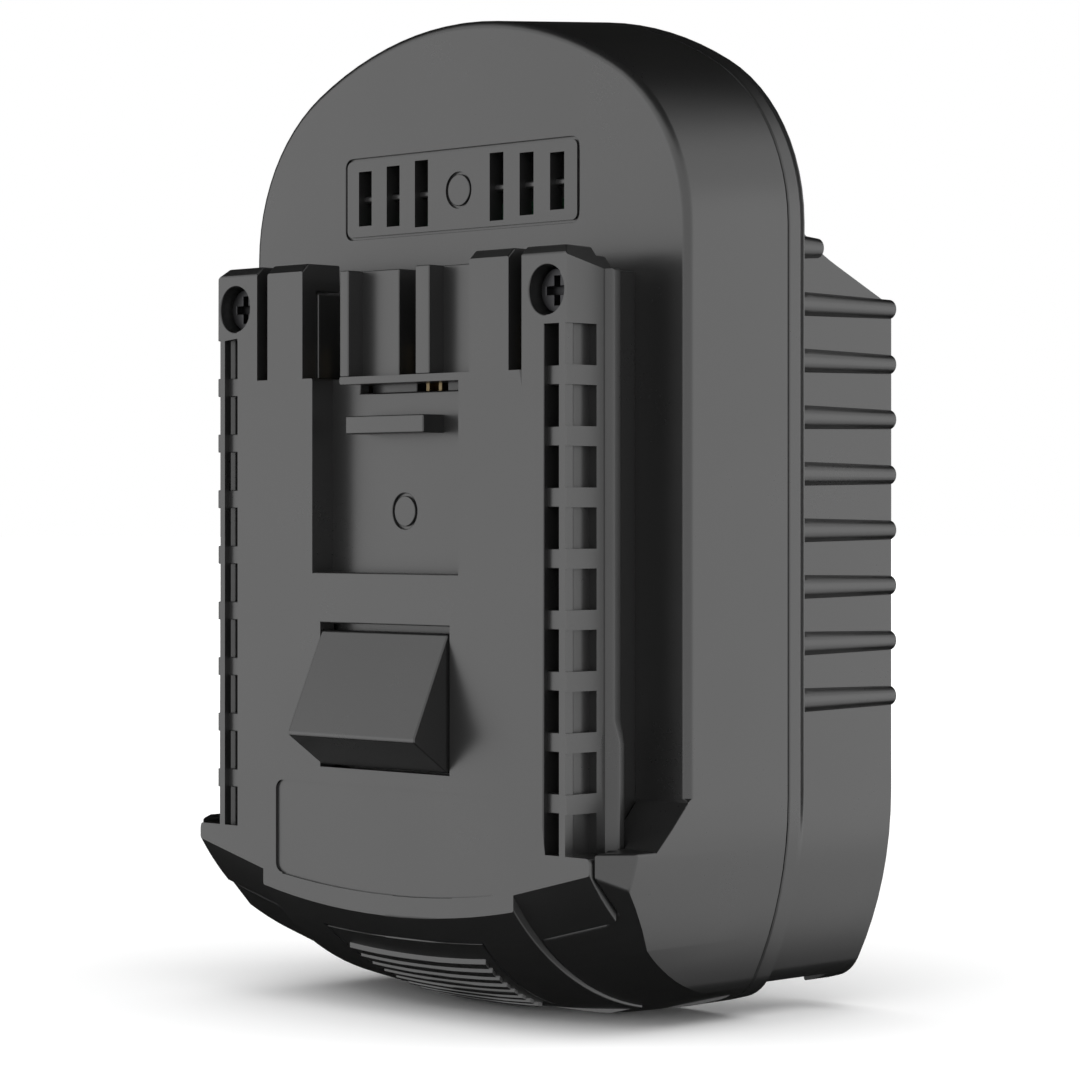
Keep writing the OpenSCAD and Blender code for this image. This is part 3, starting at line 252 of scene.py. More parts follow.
class Finish:
    """A finish whose shader inputs are worked out on a node sheet."""

    name: str

    def inputs(self, sheet: NodeSheet, place: Wire) -> dict[str, Value]:
        """The inputs of the finish's shader, from Object coordinates."""
        raise NotImplementedError

    def paint(self) -> bpy.types.Material:
        """Make the material.

        Returns:
            The material.
        """
        material = bpy.data.materials.new(self.name)
        sheet = NodeSheet(material)
        sheet.surface(sheet.add("ShaderNodeBsdfPrincipled", {}, self.inputs(sheet, sheet.place())))
        return material


@dataclass(frozen=True)
class MouldedPlastic(Finish):
    """Moulded plastic with a fine spark-eroded grain and slow changes of tone.

    Where rim_fall_mm is set, the bump also lets the housing's rim fall away softly towards the grip. The
    fall lies between two places along Y and fades out between two heights above the foot.
    """

    name: str
    level: float
    roughness: float = 0.3
    specular: float = 1.0
    grain_mm: float = 0.3
    fleck_mm: float = 0.9
    tone_mm: float = 14.0
    tone_share: float = 0.05
    colour_mix: tuple[float, float, float] = (0.6, 0.25, 0.15)
    gloss_swing: tuple[float, float] = (0.06, 0.08)
    height_mix: tuple[float, float] = (0.7, 0.3)
    grain_depth_mm: float = 0.012
    grain_strength: float = 0.04
    rim_y_mm: tuple[float, float] = (9.6, 10.55)
    rim_foot_z_mm: tuple[float, float] = (18.0, 28.0)
    rim_fall_mm: float = 0.0

    def inputs(self, sheet: NodeSheet, place: Wire) -> dict[str, Value]:
        """Put the grain in the bump and the gloss, and slow tones in the colour.

        Args:
            sheet: the material's node sheet.
            place: Object coordinates.

        Returns:
            The shader's inputs.
        """
        grain = sheet.noise(place, self.grain_mm, detail=1.0)
        fleck = sheet.noise(place, self.fleck_mm, detail=3.0)
        tone = sheet.noise(place, self.tone_mm)
        of_tone, of_fleck, of_grain = self.colour_mix
        blend = tone * of_tone + fleck * of_fleck + grain * of_grain
        dark, light = (grey(self.level * (1 + side * self.tone_share)) for side in (-1, 1))
        grain_swing, tone_swing = self.gloss_swing
        grain_high, fleck_high = self.height_mix
        height = grain * grain_high + fleck * fleck_high
        normal = sheet.bump(height, self.grain_depth_mm, self.grain_strength)
        if self.rim_fall_mm:
            edge, above = (
                1.0 - sheet.fade(sheet.part(place, axis), low * MM, high * MM)
                for axis, (low, high) in (("Y", self.rim_y_mm), ("Z", self.rim_foot_z_mm))
            )
            normal = sheet.bump(1.0 - edge * above, self.rim_fall_mm, 1.0, normal)
        return {
            "Base Color": sheet.shade(blend, dark, light),
            "Roughness": self.roughness + grain.swing(grain_swing) + tone.swing(tone_swing),
            "Normal": normal,
            "Specular IOR Level": self.specular,
        }


@dataclass(frozen=True)
class RolledMetal(Finish):
    """Sheet, wire or screw metal with drawn lines and dull patches."""

    name: str
    colour: Colour
    roughness: float
    line_mm: tuple[float, float, float]
    dull: float = 0.7
    patch_mm: float = 2.2
    colour_mix: tuple[float, float] = (0.7, 0.3)
    gloss_swing: tuple[float, float] = (0.2, 0.12)
    line_depth_mm: float = 0.01
    line_strength: float = 0.3

    def inputs(self, sheet: NodeSheet, place: Wire) -> dict[str, Value]:
        """Draw lines along the rolling direction, and patches that are duller.

        Args:
            sheet: the material's node sheet.
            place: Object coordinates.

        Returns:
            The shader's inputs.
        """
        drawn = sheet.stretched(place, tuple(1 / x for x in self.line_mm))
        lines = sheet.noise(drawn, size_mm=1.0, detail=3.0)
        patch = sheet.noise(place, self.patch_mm, detail=3.0)
        dark = (*(self.dull * c for c in self.colour[:3]), 1.0)
        of_patch, of_lines = self.colour_mix
        patch_swing, line_swing = self.gloss_swing
        return {
            "Base Color": sheet.shade(patch * of_patch + lines * of_lines, dark, self.colour),
            "Roughness": self.roughness + patch.swing(patch_swing) + lines.swing(line_swing),
            "Metallic": 1.0,
            "Normal": sheet.bump(lines, self.line_depth_mm, self.line_strength),
        }


@dataclass(frozen=True)
class SolderMask(Finish):
    """Green solder mask with copper tracks showing as paler bands under it."""

    name: str = "solder_mask"
    mask: Colour = (0.012, 0.09, 0.035, 1.0)
    over_copper: Colour = (0.03, 0.19, 0.08, 1.0)
    wave_mm: float = 14.4
    track_from: float = 0.62
    break_mm: float = 9.0
    break_from: float = 0.47
    weave_mm: float = 0.5
    colour_mix: tuple[float, float] = (0.85, 0.15)
    roughness: float = 0.3
    gloss_swing: float = 0.15
    weave_high: float = 0.2
    track_depth_mm: float = 0.03
    track_strength: float = 0.4

    def inputs(self, sheet: NodeSheet, place: Wire) -> dict[str, Value]:
        """Let bands of a wave pattern, broken by noise, stand for tracks.

        Args:
            sheet: the material's node sheet.
            place: Object coordinates.

        Returns:
            The shader's inputs.
        """
        bands = sheet.add(
            "ShaderNodeTexWave",
            {"bands_direction": "X", "wave_profile": "SIN"},
            {"Vector": place, "Scale": 1 / (self.wave_mm * MM), "Distortion": 1.5, "Detail": 1.0},
            1,
        )
        unbroken = sheet.noise(place, self.break_mm, detail=0.0) > self.break_from
        track = (bands > self.track_from) * unbroken
        weave = sheet.noise(place, self.weave_mm)
        of_track, of_weave = self.colour_mix
        height = track + weave * self.weave_high
        return {
            "Base Color": sheet.shade(track * of_track + weave * of_weave, self.mask, self.over_copper),
            "Roughness": self.roughness + weave.swing(self.gloss_swing),
            "Normal": sheet.bump(height, self.track_depth_mm, self.track_strength),
        }


@dataclass(frozen=True)
class ShrinkSleeve(Finish):
    """Thin sleeve of a capacitor, dark with one paler stripe along it."""

    name: str = "shrink_sleeve"
    sleeve: Colour = (0.02, 0.022, 0.05, 1.0)
    stripe: Colour = (0.35, 0.36, 0.4, 1.0)
    stripe_from_m: float = 0.0634
    colour_mix: tuple[float, float] = (0.9, 0.05)
    ripple_mm: float = 1.4
    roughness: float = 0.32
    gloss_swing: float = 0.2
    ripple_depth_mm: float = 0.02
    ripple_strength: float = 0.3

    def inputs(self, sheet: NodeSheet, place: Wire) -> dict[str, Value]:
        """Lay the stripe above a height on the lying can, and ripples all over.

        Args:
            sheet: the material's node sheet.
            place: Object coordinates.

        Returns:
            The shader's inputs.
        """
        striped = sheet.part(place, "Z") > self.stripe_from_m
        ripple = sheet.noise(place, self.ripple_mm)
        of_stripe, of_ripple = self.colour_mix
        return {
            "Base Color": sheet.shade(striped * of_stripe + ripple * of_ripple, self.sleeve, self.stripe),
            "Roughness": self.roughness + ripple.swing(self.gloss_swing),
            "Normal": sheet.bump(ripple, self.ripple_depth_mm, self.ripple_strength),
        }


# Meshes


def link(name: str, data: bpy.types.ID) -> bpy.types.Object:
    """Make an object and link it to the scene.

    Args:
        name: the object's name.
        data: its mesh, lamp or camera.

    Returns:
        The new object.
    """
    obj = bpy.data.objects.new(name, data)
    bpy.context.scene.collection.objects.link(obj)
    return obj


def whole(rows: bpy.types.bpy_prop_collection, name: str, width: int = 1) -> np.ndarray:
    """Read whole numbers of all the rows of a mesh.

    Args:
        rows: the mesh's edges, loops, faces, triangles or values of an attribute.
        name: the property to read.
        width: how many numbers it has in a row.

    Returns:
        The numbers, as rows by width where a row has more than one.
    """
    values = np.empty(len(rows) * width, np.int32)
    rows.foreach_get(name, values)
    return values.reshape(-1, width) if width > 1 else values


def real(rows: bpy.types.bpy_prop_collection, name: str, width: int = 1) -> np.ndarray:
    """Read measures of all the rows of a mesh.

    Args:
        rows: the mesh's vertices or faces.
        name: the property to read.
        width: how many numbers it has in a row.

    Returns:
        The measures, as rows by width where a row has more than one.
    """
    values = np.empty(len(rows) * width, np.float32)
    rows.foreach_get(name, values)
    return (values.reshape(-1, width) if width > 1 else values).astype(float)


def loop_faces(mesh: bpy.types.Mesh) -> np.ndarray:
    """The number of the face that each loop of a mesh belongs to."""
    totals = whole(mesh.polygons, "loop_total")
    return np.repeat(np.arange(len(totals)), totals)


def unit(vectors: np.ndarray) -> np.ndarray:
    """Vectors brought to a length of 1."""
    return vectors / np.maximum(np.linalg.norm(vectors, axis=1), TINY_M)[:, None]


def smooth(mesh: bpy.types.Mesh) -> None:
    """Shade all faces of a mesh smooth."""
    mesh.polygons.foreach_set("use_smooth", np.ones(len(mesh.polygons), dtype=bool))


@contextmanager
def opened(mesh: bpy.types.Mesh) -> Iterator[bmesh.types.BMesh]:
    """Open a mesh for work on its faces, and put the result back into it.

    Args:
        mesh: the mesh.

    Returns:
        The opened mesh, for a with statement.
    """
    work = bmesh.new()
    work.from_mesh(mesh)
    yield work
    work.to_mesh(mesh)
    work.free()


def grid_object(name: str, points: np.ndarray) -> bpy.types.Object:
    """Make an object from a tube of rings, closed by a flat face at each end.

    The rings follow one another along the first axis of points, and each ring closes on itself, so
    quad (i, j) joins points (i, j), (i, j + 1), (i + 1, j + 1) and (i + 1, j).

    Args:
        name: the object's name.
        points: an array of rings by points by 3, in metres.

    Returns:
        The new object, shaded smooth and linked to the scene.
    """
    rings, sides = points.shape[:2]
    index = np.arange(rings * sides).reshape(rings, sides)
    after = np.roll(index, -1, axis=1)
    quads = np.stack([index[:-1], after[:-1], after[1:], index[1:]], axis=-1).reshape(-1, 4)
    mesh = bpy.data.meshes.new(name)
    caps = [index[0, ::-1].tolist(), index[-1].tolist()]
    mesh.from_pydata(points.reshape(-1, 3).tolist(), [], quads.tolist() + caps)
    smooth(mesh)
    return link(name, mesh)


def fellows(key: np.ndarray) -> tuple[np.ndarray, np.ndarray]:
    """All pairs of rows that have the same key, a row with itself as well.

    Args:
        key: a number from 0 up for each row.

    Returns:
        The first row of each pair, and the second.
    """
    order = np.argsort(key, kind="stable")
    degree = np.bincount(key)
    begin = np.cumsum(degree) - degree
    repeat = degree[key[order]]
    left = np.repeat(np.arange(len(key)), repeat)
    step = np.arange(repeat.sum()) - np.repeat(np.cumsum(repeat) - repeat, repeat)
    return order[left], order[begin[key[order[left]]] + step]


def joined(count: int, pairs: np.ndarray) -> np.ndarray:
    """Number the groups of things that pairs join, by passing on the lowest number until nothing changes.

    Args:
        count: how many things there are.
        pairs: the numbers of two things that are joined, in each row.

    Returns:
        The number of each thing's group.
    """
    label = np.arange(count)
    settled = False
    while not settled:
        low = label[pairs].min(1)
        lower = label.copy()
        np.minimum.at(lower, pairs[:, 0], low)
        np.minimum.at(lower, pairs[:, 1], low)
        lower = lower[lower]
        settled = np.array_equal(lower, label)
        label = lower
    return label


@dataclass
class EdgeTable:
    """What the edges of a closed mesh are like, as arrays with a row for each edge.

    The points and areas are those of the mesh's vertices and faces.
    """

    ends: np.ndarray
    points: np.ndarray
    angle: np.ndarray
    convex: np.ndarray
    faces: np.ndarray
    areas: np.ndarray

    @classmethod
    def of(cls, mesh: bpy.types.Mesh) -> "EdgeTable":
        """Measure a mesh.

        The angle is that between the normals of an edge's two faces. The edge is convex where the second
        normal points away from the first face's inside, which lies along the cross product of the first
        normal and the edge as that face runs along it.

        Args:
            mesh: a closed mesh.

        Returns:
            The table of its edges.
        """
        ends = whole(mesh.edges, "vertices", 2)
        points = real(mesh.vertices, "co", 3)
        loop_edge = whole(mesh.loops, "edge_index")
        normals = real(mesh.polygons, "normal", 3)
        face = loop_faces(mesh)
        uses = np.bincount(loop_edge, minlength=len(ends))
        order = np.argsort(loop_edge, kind="stable")
        begin = np.cumsum(uses) - uses
        first = order[begin]
        second = order[np.minimum(begin + 1, len(order) - 1)]
        n1, n2 = normals[face[first]], normals[face[second]]
        start = whole(mesh.loops, "vertex_index")[first]
        inside = np.cross(n1, points[ends.sum(1) - start] - points[start])
        convex = (n2 * inside).sum(1) < 0
        angle = np.arccos(np.clip((n1 * n2).sum(1), -1, 1))
        angle[uses != 2] = 0
        faces = np.column_stack([face[first], face[second]])
        return cls(ends, points, angle, convex, faces, real(mesh.polygons, "area"))

    def length(self) -> np.ndarray:
        """The length of each edge."""
        return np.linalg.norm(self.points[self.ends[:, 0]] - self.points[self.ends[:, 1]], axis=1)

    def patch_width(self, edge_angle: float) -> np.ndarray:
        """How wide the narrower of the two smooth patches beside each edge is.

        Faces that meet at less than edge_angle form a patch. A patch's width is twice its area over the
        length of its sharp border.

        Args:
            edge_angle: the angle past which two faces are apart.

        Returns:
            A width for each edge, in metres.
        """
        hard = self.angle > edge_angle
        label = joined(len(self.areas), self.faces[~hard])
        area = np.bincount(label, self.areas, minlength=len(label))
        length = np.repeat(self.length()[hard], 2)
        border = np.bincount(label[self.faces[hard]].ravel(), length, minlength=len(label))
        width = 2 * area / np.maximum(border, TINY_M)
        return width[label[self.faces]].min(1)

    def meetings(self) -> tuple[np.ndarray, np.ndarray, np.ndarray]:
        """Pairs of edges that meet at a point.

        Returns:
            The first edge of each pair, the second, and how straight the one runs on in the other, from 0
            at a right angle to 1.
        """
        vertex = self.ends.T.reshape(-1)
        edge = np.tile(np.arange(len(self.ends)), 2)
        away = unit(self.points[self.ends[:, ::-1].T.reshape(-1)] - self.points[vertex])
        left, right = fellows(vertex)
        apart = edge[left] != edge[right]
        left, right = left[apart], right[apart]
        return edge[left], edge[right], np.abs((away[left] * away[right]).sum(1))

    def room(self, share: float, edge_angle: float) -> np.ndarray:
        """How wide each edge may be rounded before it meets another rounding.

        At each end of an edge the other sharp edges that leave it sideways are measured, and the shortest,
        times share, is the room.

        Args:
            share: the part of a neighbour's length that a rounding may take.
            edge_angle: the angle past which a neighbour counts as an edge.

        Returns:
            A width for each edge, in metres.
        """
        left, right, straight = self.meetings()
        counts = (straight < SIDEWAYS) & (self.angle[right] > edge_angle)
        room = np.full(len(self.ends), OPEN_ROOM_M)
        np.minimum.at(room, left[counts], share * self.length()[right[counts]])
        return room

    def chained(self, rounded: np.ndarray) -> tuple[np.ndarray, np.ndarray]:
        """Pairs of rounded edges that go on in one another without a corner.

        Args:
            rounded: True for each edge that is rounded.

        Returns:
            The first edge of each pair, and the second.
        """
        left, right, straight = self.meetings()
        chain = (straight > ONWARD) & rounded[left] & rounded[right]
        return left[chain], right[chain]

    def runs(self, rounded: np.ndarray) -> np.ndarray:
        """Number the runs of rounded edges that go on in one another without a corner."""
        return joined(len(self.ends), np.column_stack(self.chained(rounded)))

    def tapered(self, width: np.ndarray, rounded: np.ndarray, slope: float) -> np.ndarray:
        """Let the widths along a run of edges change by no more than slope for each unit of length.

        Args:
            width: a width for each edge.
            rounded: True for each edge that is rounded.
            slope: the steepest change.

        Returns:
            The narrowed widths.
        """
        left, right = self.chained(rounded)
        rise = slope * self.length()[left]
        settled = False
        while not settled:
            lower = width.copy()
            np.minimum.at(lower, left, width[right] + rise)
            settled = np.allclose(lower, width, atol=SETTLED_M)
            width = lower
        return width

    def clearance(self, mesh: bpy.types.Mesh, reach_m: float) -> np.ndarray:
        """How far each edge is from the far side of its two faces, across a narrow neck as well.

        Two straight edges are nearest at an end of one of them. So the ends of a face's edges are measured
        to all its other edges, and a pair counts where the way across leads into the face, which leaves
        out the next edges along a curve.

        Args:
            mesh: the mesh that the table was made of.
            reach_m: the distance past which nothing is measured.

        Returns:
            A distance for each edge, in metres, of at most reach_m.
        """
        nearest = np.full(len(self.ends), reach_m)
        loop_edge = whole(mesh.loops, "edge_index")
        for face in mesh.polygons:
            edge = loop_edge[face.loop_start : face.loop_start + face.loop_total]
            start = self.points[list(face.vertices)]
            along = np.roll(start, -1, axis=0) - start
            inward = unit(np.cross(np.array(face.normal), along))
            from_start = start[None, :, :] - start[:, None, :]
            square = np.maximum((along**2).sum(1), TINY_M**2)[:, None]
            share = (from_start * along[:, None, :]).sum(2) / square
            across = from_start - np.clip(share, 0, 1)[:, :, None] * along[:, None, :]
            gap = np.linalg.norm(across, axis=2)
            ahead = (across * inward[:, None, :]).sum(2) > AHEAD * gap
            gap = np.where(ahead & (gap > SAME_PLACE_M), gap, reach_m)
            by_vertex = gap.min(0)
            found = np.minimum(gap.min(1), np.minimum(by_vertex, np.roll(by_vertex, -1)))
            np.minimum.at(nearest, edge, found)
        return nearest


@dataclass(frozen=True)
class Rounding:
    """How the edges of a copy of a CAD node are rounded."""

    width_mm: float = 0.3
    segments: int = 3
    weld_mm: float = 0.02
    flat_deg: float = 0.5
    sharp_deg: float = 28.0
    share: float = 0.42
    reach_widths: float = 10.0
    taper: float = 0.05
    whole_runs: bool = False
    corner_deg: float = 95.0
    tries: int = 6


SCREW_EDGE = Rounding(0.15, 2)
EdgeChoice = Callable[[np.ndarray, np.ndarray, np.ndarray], np.ndarray]


@dataclass(frozen=True)
class WideRounding:
    """A wider rounding, down to a height, of edges chosen by their ends' points and their angle."""

    choose: EdgeChoice
    width_mm: float
    stop_z_mm: float
    segments: int = 6


def rounded_copy(
    node: bpy.types.Object, name: str, rounding: Rounding, wide: tuple[WideRounding, ...] = ()
) -> bpy.types.Object:
    """Copy a CAD node with its edges rounded as a mould leaves them.

    The copy's loose triangles are merged and its flat faces joined, the wide roundings are cut, and a
    Bevel modifier rounds every other convex edge by the width that it has room for. The result is tried
    out, and the edges of faces that fold over stay sharp, with their whole runs where whole_runs is set.
    Then the modifier is applied and the corners get their normals.

    Args:
        node: the CAD node's object.
        name: the name of the new piece.
        rounding: the small rounding of all edges.
        wide: wider roundings of chosen edges.

    Returns:
        The new piece, linked to the scene.
    """
    mesh = node.data.copy()
    mesh.name = name
    mesh.materials.clear()
    join_flats(mesh, rounding)
    for cut in wide:
        cut_wide(mesh, cut, rounding)
    table = EdgeTable.of(mesh)
    limit = math.radians(rounding.sharp_deg)
    full = rounding.width_mm * MM
    sharp = (table.angle > limit) & table.convex
    room = np.minimum(table.room(rounding.share, limit), rounding.share * table.patch_width(limit))
    room = np.minimum(room, rounding.share * table.clearance(mesh, rounding.reach_widths * full))
    width = table.tapered(np.minimum(room, full), sharp, rounding.taper)
    mesh.attributes.new("bevel_weight_edge", "FLOAT", "EDGE")
    mesh.attributes.new("source", "INT", "FACE").data.foreach_set("value", np.arange(len(mesh.polygons)))
    smooth(mesh)
    obj = link(name, mesh)
    bevel = obj.modifiers.new("edge_rounding", "BEVEL")
    bevel.limit_method = "WEIGHT"
    bevel.width = full
    bevel.segments = rounding.segments
    bevel.use_clamp_overlap = False
    run = table.runs(sharp)
    for _ in range(rounding.tries):
        weight = np.where(sharp, width / full, 0)
        mesh.attributes["bevel_weight_edge"].data.foreach_set("value", weight.astype(np.float32))
        folded = folded_faces(obj)
        if not len(folded):
            break
        hit = np.isin(table.faces, folded).any(1) & sharp
        if rounding.whole_runs:
            hit = np.isin(run, run[hit])
        width[hit] = 0
    lay_normals(obj, math.radians(rounding.corner_deg / rounding.segments))
    return obj


def join_flats(mesh: bpy.types.Mesh, rounding: Rounding) -> None:
    """Merge a CAD copy's loose triangles and join its flat faces.

    Args:
        mesh: the copy's mesh.
        rounding: gives the distance for merging and the angle of what is flat.
    """
    with opened(mesh) as work:
        bmesh.ops.remove_doubles(work, verts=work.verts, dist=rounding.weld_mm * MM)
        flat = math.radians(rounding.flat_deg)
        bmesh.ops.dissolve_limit(work, angle_limit=flat, verts=work.verts, edges=work.edges)


def cut_wide(mesh: bpy.types.Mesh, cut: WideRounding, rounding: Rounding) -> None:
    """Round chosen sharp edges of a mesh by a wide arc, down to a cut across it where the arc stops.

    Args:
        mesh: the copy's mesh.
        cut: the wide rounding.
        rounding: gives the angle of what is sharp.
    """
    with opened(mesh) as work:
        bmesh.ops.bisect_plane(
            work,
            geom=[*work.verts, *work.edges, *work.faces],
            dist=SAME_PLACE_M,
            plane_co=(0, 0, cut.stop_z_mm * MM),
            plane_no=(0, 0, 1),
        )
    table = EdgeTable.of(mesh)
    ends = table.points[table.ends] / MM
    chosen = cut.choose(ends[:, 0], ends[:, 1], np.degrees(table.angle))
    chosen &= table.convex & (table.angle > math.radians(rounding.sharp_deg))
    with opened(mesh) as work:
        work.edges.ensure_lookup_table()
        bmesh.ops.bevel(
            work,
            geom=[work.edges[i] for i in np.flatnonzero(chosen)],
            offset=cut.width_mm * MM,
            offset_type="OFFSET",
            segments=cut.segments,
            profile=0.5,
            affect="EDGES",
            clamp_overlap=False,
        )
    LOG.info("%s: %d edges rounded by %.1f mm", mesh.name, chosen.sum(), cut.width_mm)


def folded_faces(obj: bpy.types.Object) -> np.ndarray:
    """Find the faces of a copy that its modifiers fold over.

    A face is folded where triangles of it point against the sum of all its triangles.

    Args:
        obj: the piece, whose faces carry their numbers in the attribute source.

    Returns:
        The numbers of the folded faces.
    """
    obj.data.update_tag()
    bpy.context.view_layer.update()
    shaped = obj.evaluated_get(bpy.context.evaluated_depsgraph_get())
    mesh = shaped.to_mesh()
    mesh.calc_loop_triangles()
    corners = whole(mesh.loop_triangles, "vertices", 3)
    a, b, c = real(mesh.vertices, "co", 3)[corners].transpose(1, 0, 2)
    owner = whole(mesh.loop_triangles, "polygon_index")
    source = whole(mesh.attributes["source"].data, "value")
    side = np.cross(b - a, c - a) / 2
    total = np.zeros((len(source), 3))
    np.add.at(total, owner, side)
    against = (side * total[owner]).sum(1) < 0
    fold = np.bincount(owner, np.linalg.norm(side, axis=1) * against, minlength=len(source))
    shaped.to_mesh_clear()
    return np.unique(source[fold > FOLD_MM2 * MM**2])


def lay_normals(obj: bpy.types.Object, limit: float) -> None:
    """Apply a piece's modifiers and give every corner of its faces a normal.

    A corner's normal is the mean, by area, of the normals of those faces at its point that lie within
    limit of its own face. So flat faces stay flat up to their edges and roundings are smooth.

    Args:
        obj: the piece.
        limit: the largest angle between two faces that are shaded as one.
    """
    depsgraph = bpy.context.evaluated_depsgraph_get()
    sharp_mesh = obj.data
    mesh = bpy.data.meshes.new_from_object(obj.evaluated_get(depsgraph), depsgraph=depsgraph)
    obj.modifiers.clear()
    obj.data = mesh
    bpy.data.meshes.remove(sharp_mesh)
    mesh.name = obj.name
    mesh.attributes.remove(mesh.attributes["source"])
    areas = real(mesh.polygons, "area")
    normals = real(mesh.polygons, "normal", 3)
    face = loop_faces(mesh)
    left, right = fellows(whole(mesh.loops, "vertex_index"))
    near = (normals[face[left]] * normals[face[right]]).sum(1) > math.cos(limit)
    left, right = left[near], face[right[near]]
    total = normals[face] * OWN_SHARE
    np.add.at(total, left, areas[right, None] * normals[right])
    mesh.normals_split_custom_set(total / np.linalg.norm(total, axis=1)[:, None])


class Assembly:
    """What the sub-assemblies share: the CAD nodes and the finishes."""

    def __init__(self, nodes: Nodes, finishes: dict[Slot, bpy.types.Material]) -> None:
        """Keep the CAD nodes and a material for each slot."""
        self.nodes = nodes
        self.finishes = finishes

    def settle(self, obj: bpy.types.Object, body: Body, slot: Slot, *replaced: str) -> bpy.types.Object:
        """Give a piece its finish, its body and the nodes that it stands for.

        Args:
            obj: the new piece.
            body: the body it rides on.
            slot: the record's material slot.
            replaced: names of the CAD nodes it replaces.

        Returns:
            The same piece.
        """
        obj.data.materials.append(self.finishes[slot])
        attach(obj, body.value)
        if replaced:
            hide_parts(*replaced)
        LOG.info("%s: %d faces, rides on %s", obj.name, len(obj.data.polygons), body.value)
        return obj

    def dress(
        self,
        node: str,
        ending: str,
        body: Body,
        slot: Slot,
        rounding: Rounding,
        wide: tuple[WideRounding, ...] = (),
    ) -> bpy.types.Object:
        """Replace one CAD node by a rounded copy named node_ending."""
        piece = rounded_copy(self.nodes[node], f"{node}_{ending}", rounding, wide)
        return self.settle(piece, body, slot, node)


# Sub-assemblies


@dataclass
class HousingShells:
    """The two moulded shells of the housing."""

    edge: Rounding = Rounding(0.35, whole_runs=True)
    face_y_mm: float = -10.05
    half_width_mm: float = 38.4
    dome_start_mm: float = 94.0
    dome_corner_mm: tuple[float, float] = (14.9, 23.5)
    crown_mm: tuple[float, float] = (67.49, 53.91)
    front_round_mm: float = 1.0
    front_round_stop_mm: float = 28.0
    front_angle_deg: float = 60.0
    outline_inset_mm: float = 0.5
    face_slack_mm: float = 0.05
    stop_slack_mm: float = 0.01

    def on_outline(self, points: np.ndarray) -> np.ndarray:
        """Find the points on the outline of the housing's face.

        A point is on the outline where it lies on the face's plane and outside the straight sides, the
        dome's corner arcs or its crown arc, each drawn in by the inset.

        Args:
            points: the points, in millimetres.

        Returns:
            True for each point on the outline.
        """
        across, height = np.abs(points[:, 0]), points[:, 2]
        side = across > self.half_width_mm - self.outline_inset_mm
        centre, radius = self.dome_corner_mm
        corner = np.hypot(across - centre, height - self.dome_start_mm) > radius - self.outline_inset_mm
        corner &= (across > centre) & (height > self.dome_start_mm)
        low, reach = self.crown_mm
        crown = np.hypot(across, height - low) > reach - self.outline_inset_mm
        on_face = np.abs(points[:, 1] - self.face_y_mm) < self.face_slack_mm
        return on_face & (side | corner | crown)

    def front_edge(self, a: np.ndarray, b: np.ndarray, angle: np.ndarray) -> np.ndarray:
        """Choose the edges along the face's outline.

        Args:
            a: first ends, in millimetres.
            b: second ends, in millimetres.
            angle: angles of the edges in degrees.

        Returns:
            True for each chosen edge.
        """
        above = np.minimum(a[:, 2], b[:, 2]) > self.front_round_stop_mm - self.stop_slack_mm
        return self.on_outline(a) & self.on_outline(b) & above & (angle > self.front_angle_deg)

    def build(self, kit: Assembly) -> None:
        """Dress both shells.

        Args:
            kit: the shared parts.
        """
        front = WideRounding(self.front_edge, self.front_round_mm, self.front_round_stop_mm)
        kit.dress("front_shell", "moulded", Body.HOUSING, Slot.HOUSING, self.edge, (front,))
        kit.dress("rear_shell", "moulded", Body.HOUSING, Slot.HOUSING, self.edge)


@dataclass
class SlidePlate:
    """The slide plate with its contact carrier and screws."""

    edge: Rounding = Rounding(0.22)
    carrier_edge: Rounding = Rounding(0.18, 2)
    screw_edge: Rounding = SCREW_EDGE

    def build(self, kit: Assembly) -> None:
        """Dress the plate, the carrier and the four screws.

        Args:
            kit: the shared parts.
        """
        kit.dress("rail_plate", "moulded", Body.HOUSING, Slot.HOUSING, self.edge)
        kit.dress("contact_carrier", "moulded", Body.HOUSING, Slot.HOUSING, self.carrier_edge)
        for node in ("plate_screws", "plate_rear_screws"):
            kit.dress(node, "turned", Body.HOUSING, Slot.STEEL, self.screw_edge)


@dataclass
class ToolContacts:
    """The fork contacts for the tool's blades."""

    edge: Rounding = Rounding(0.08, 2)

    def build(self, kit: Assembly) -> None:
        """Dress the three contact nodes."""
        for node in ("tool_contact_positive", "tool_contact_negative", "signal_contacts"):
            kit.dress(node, "stamped", Body.HOUSING, Slot.CONTACT, self.edge)


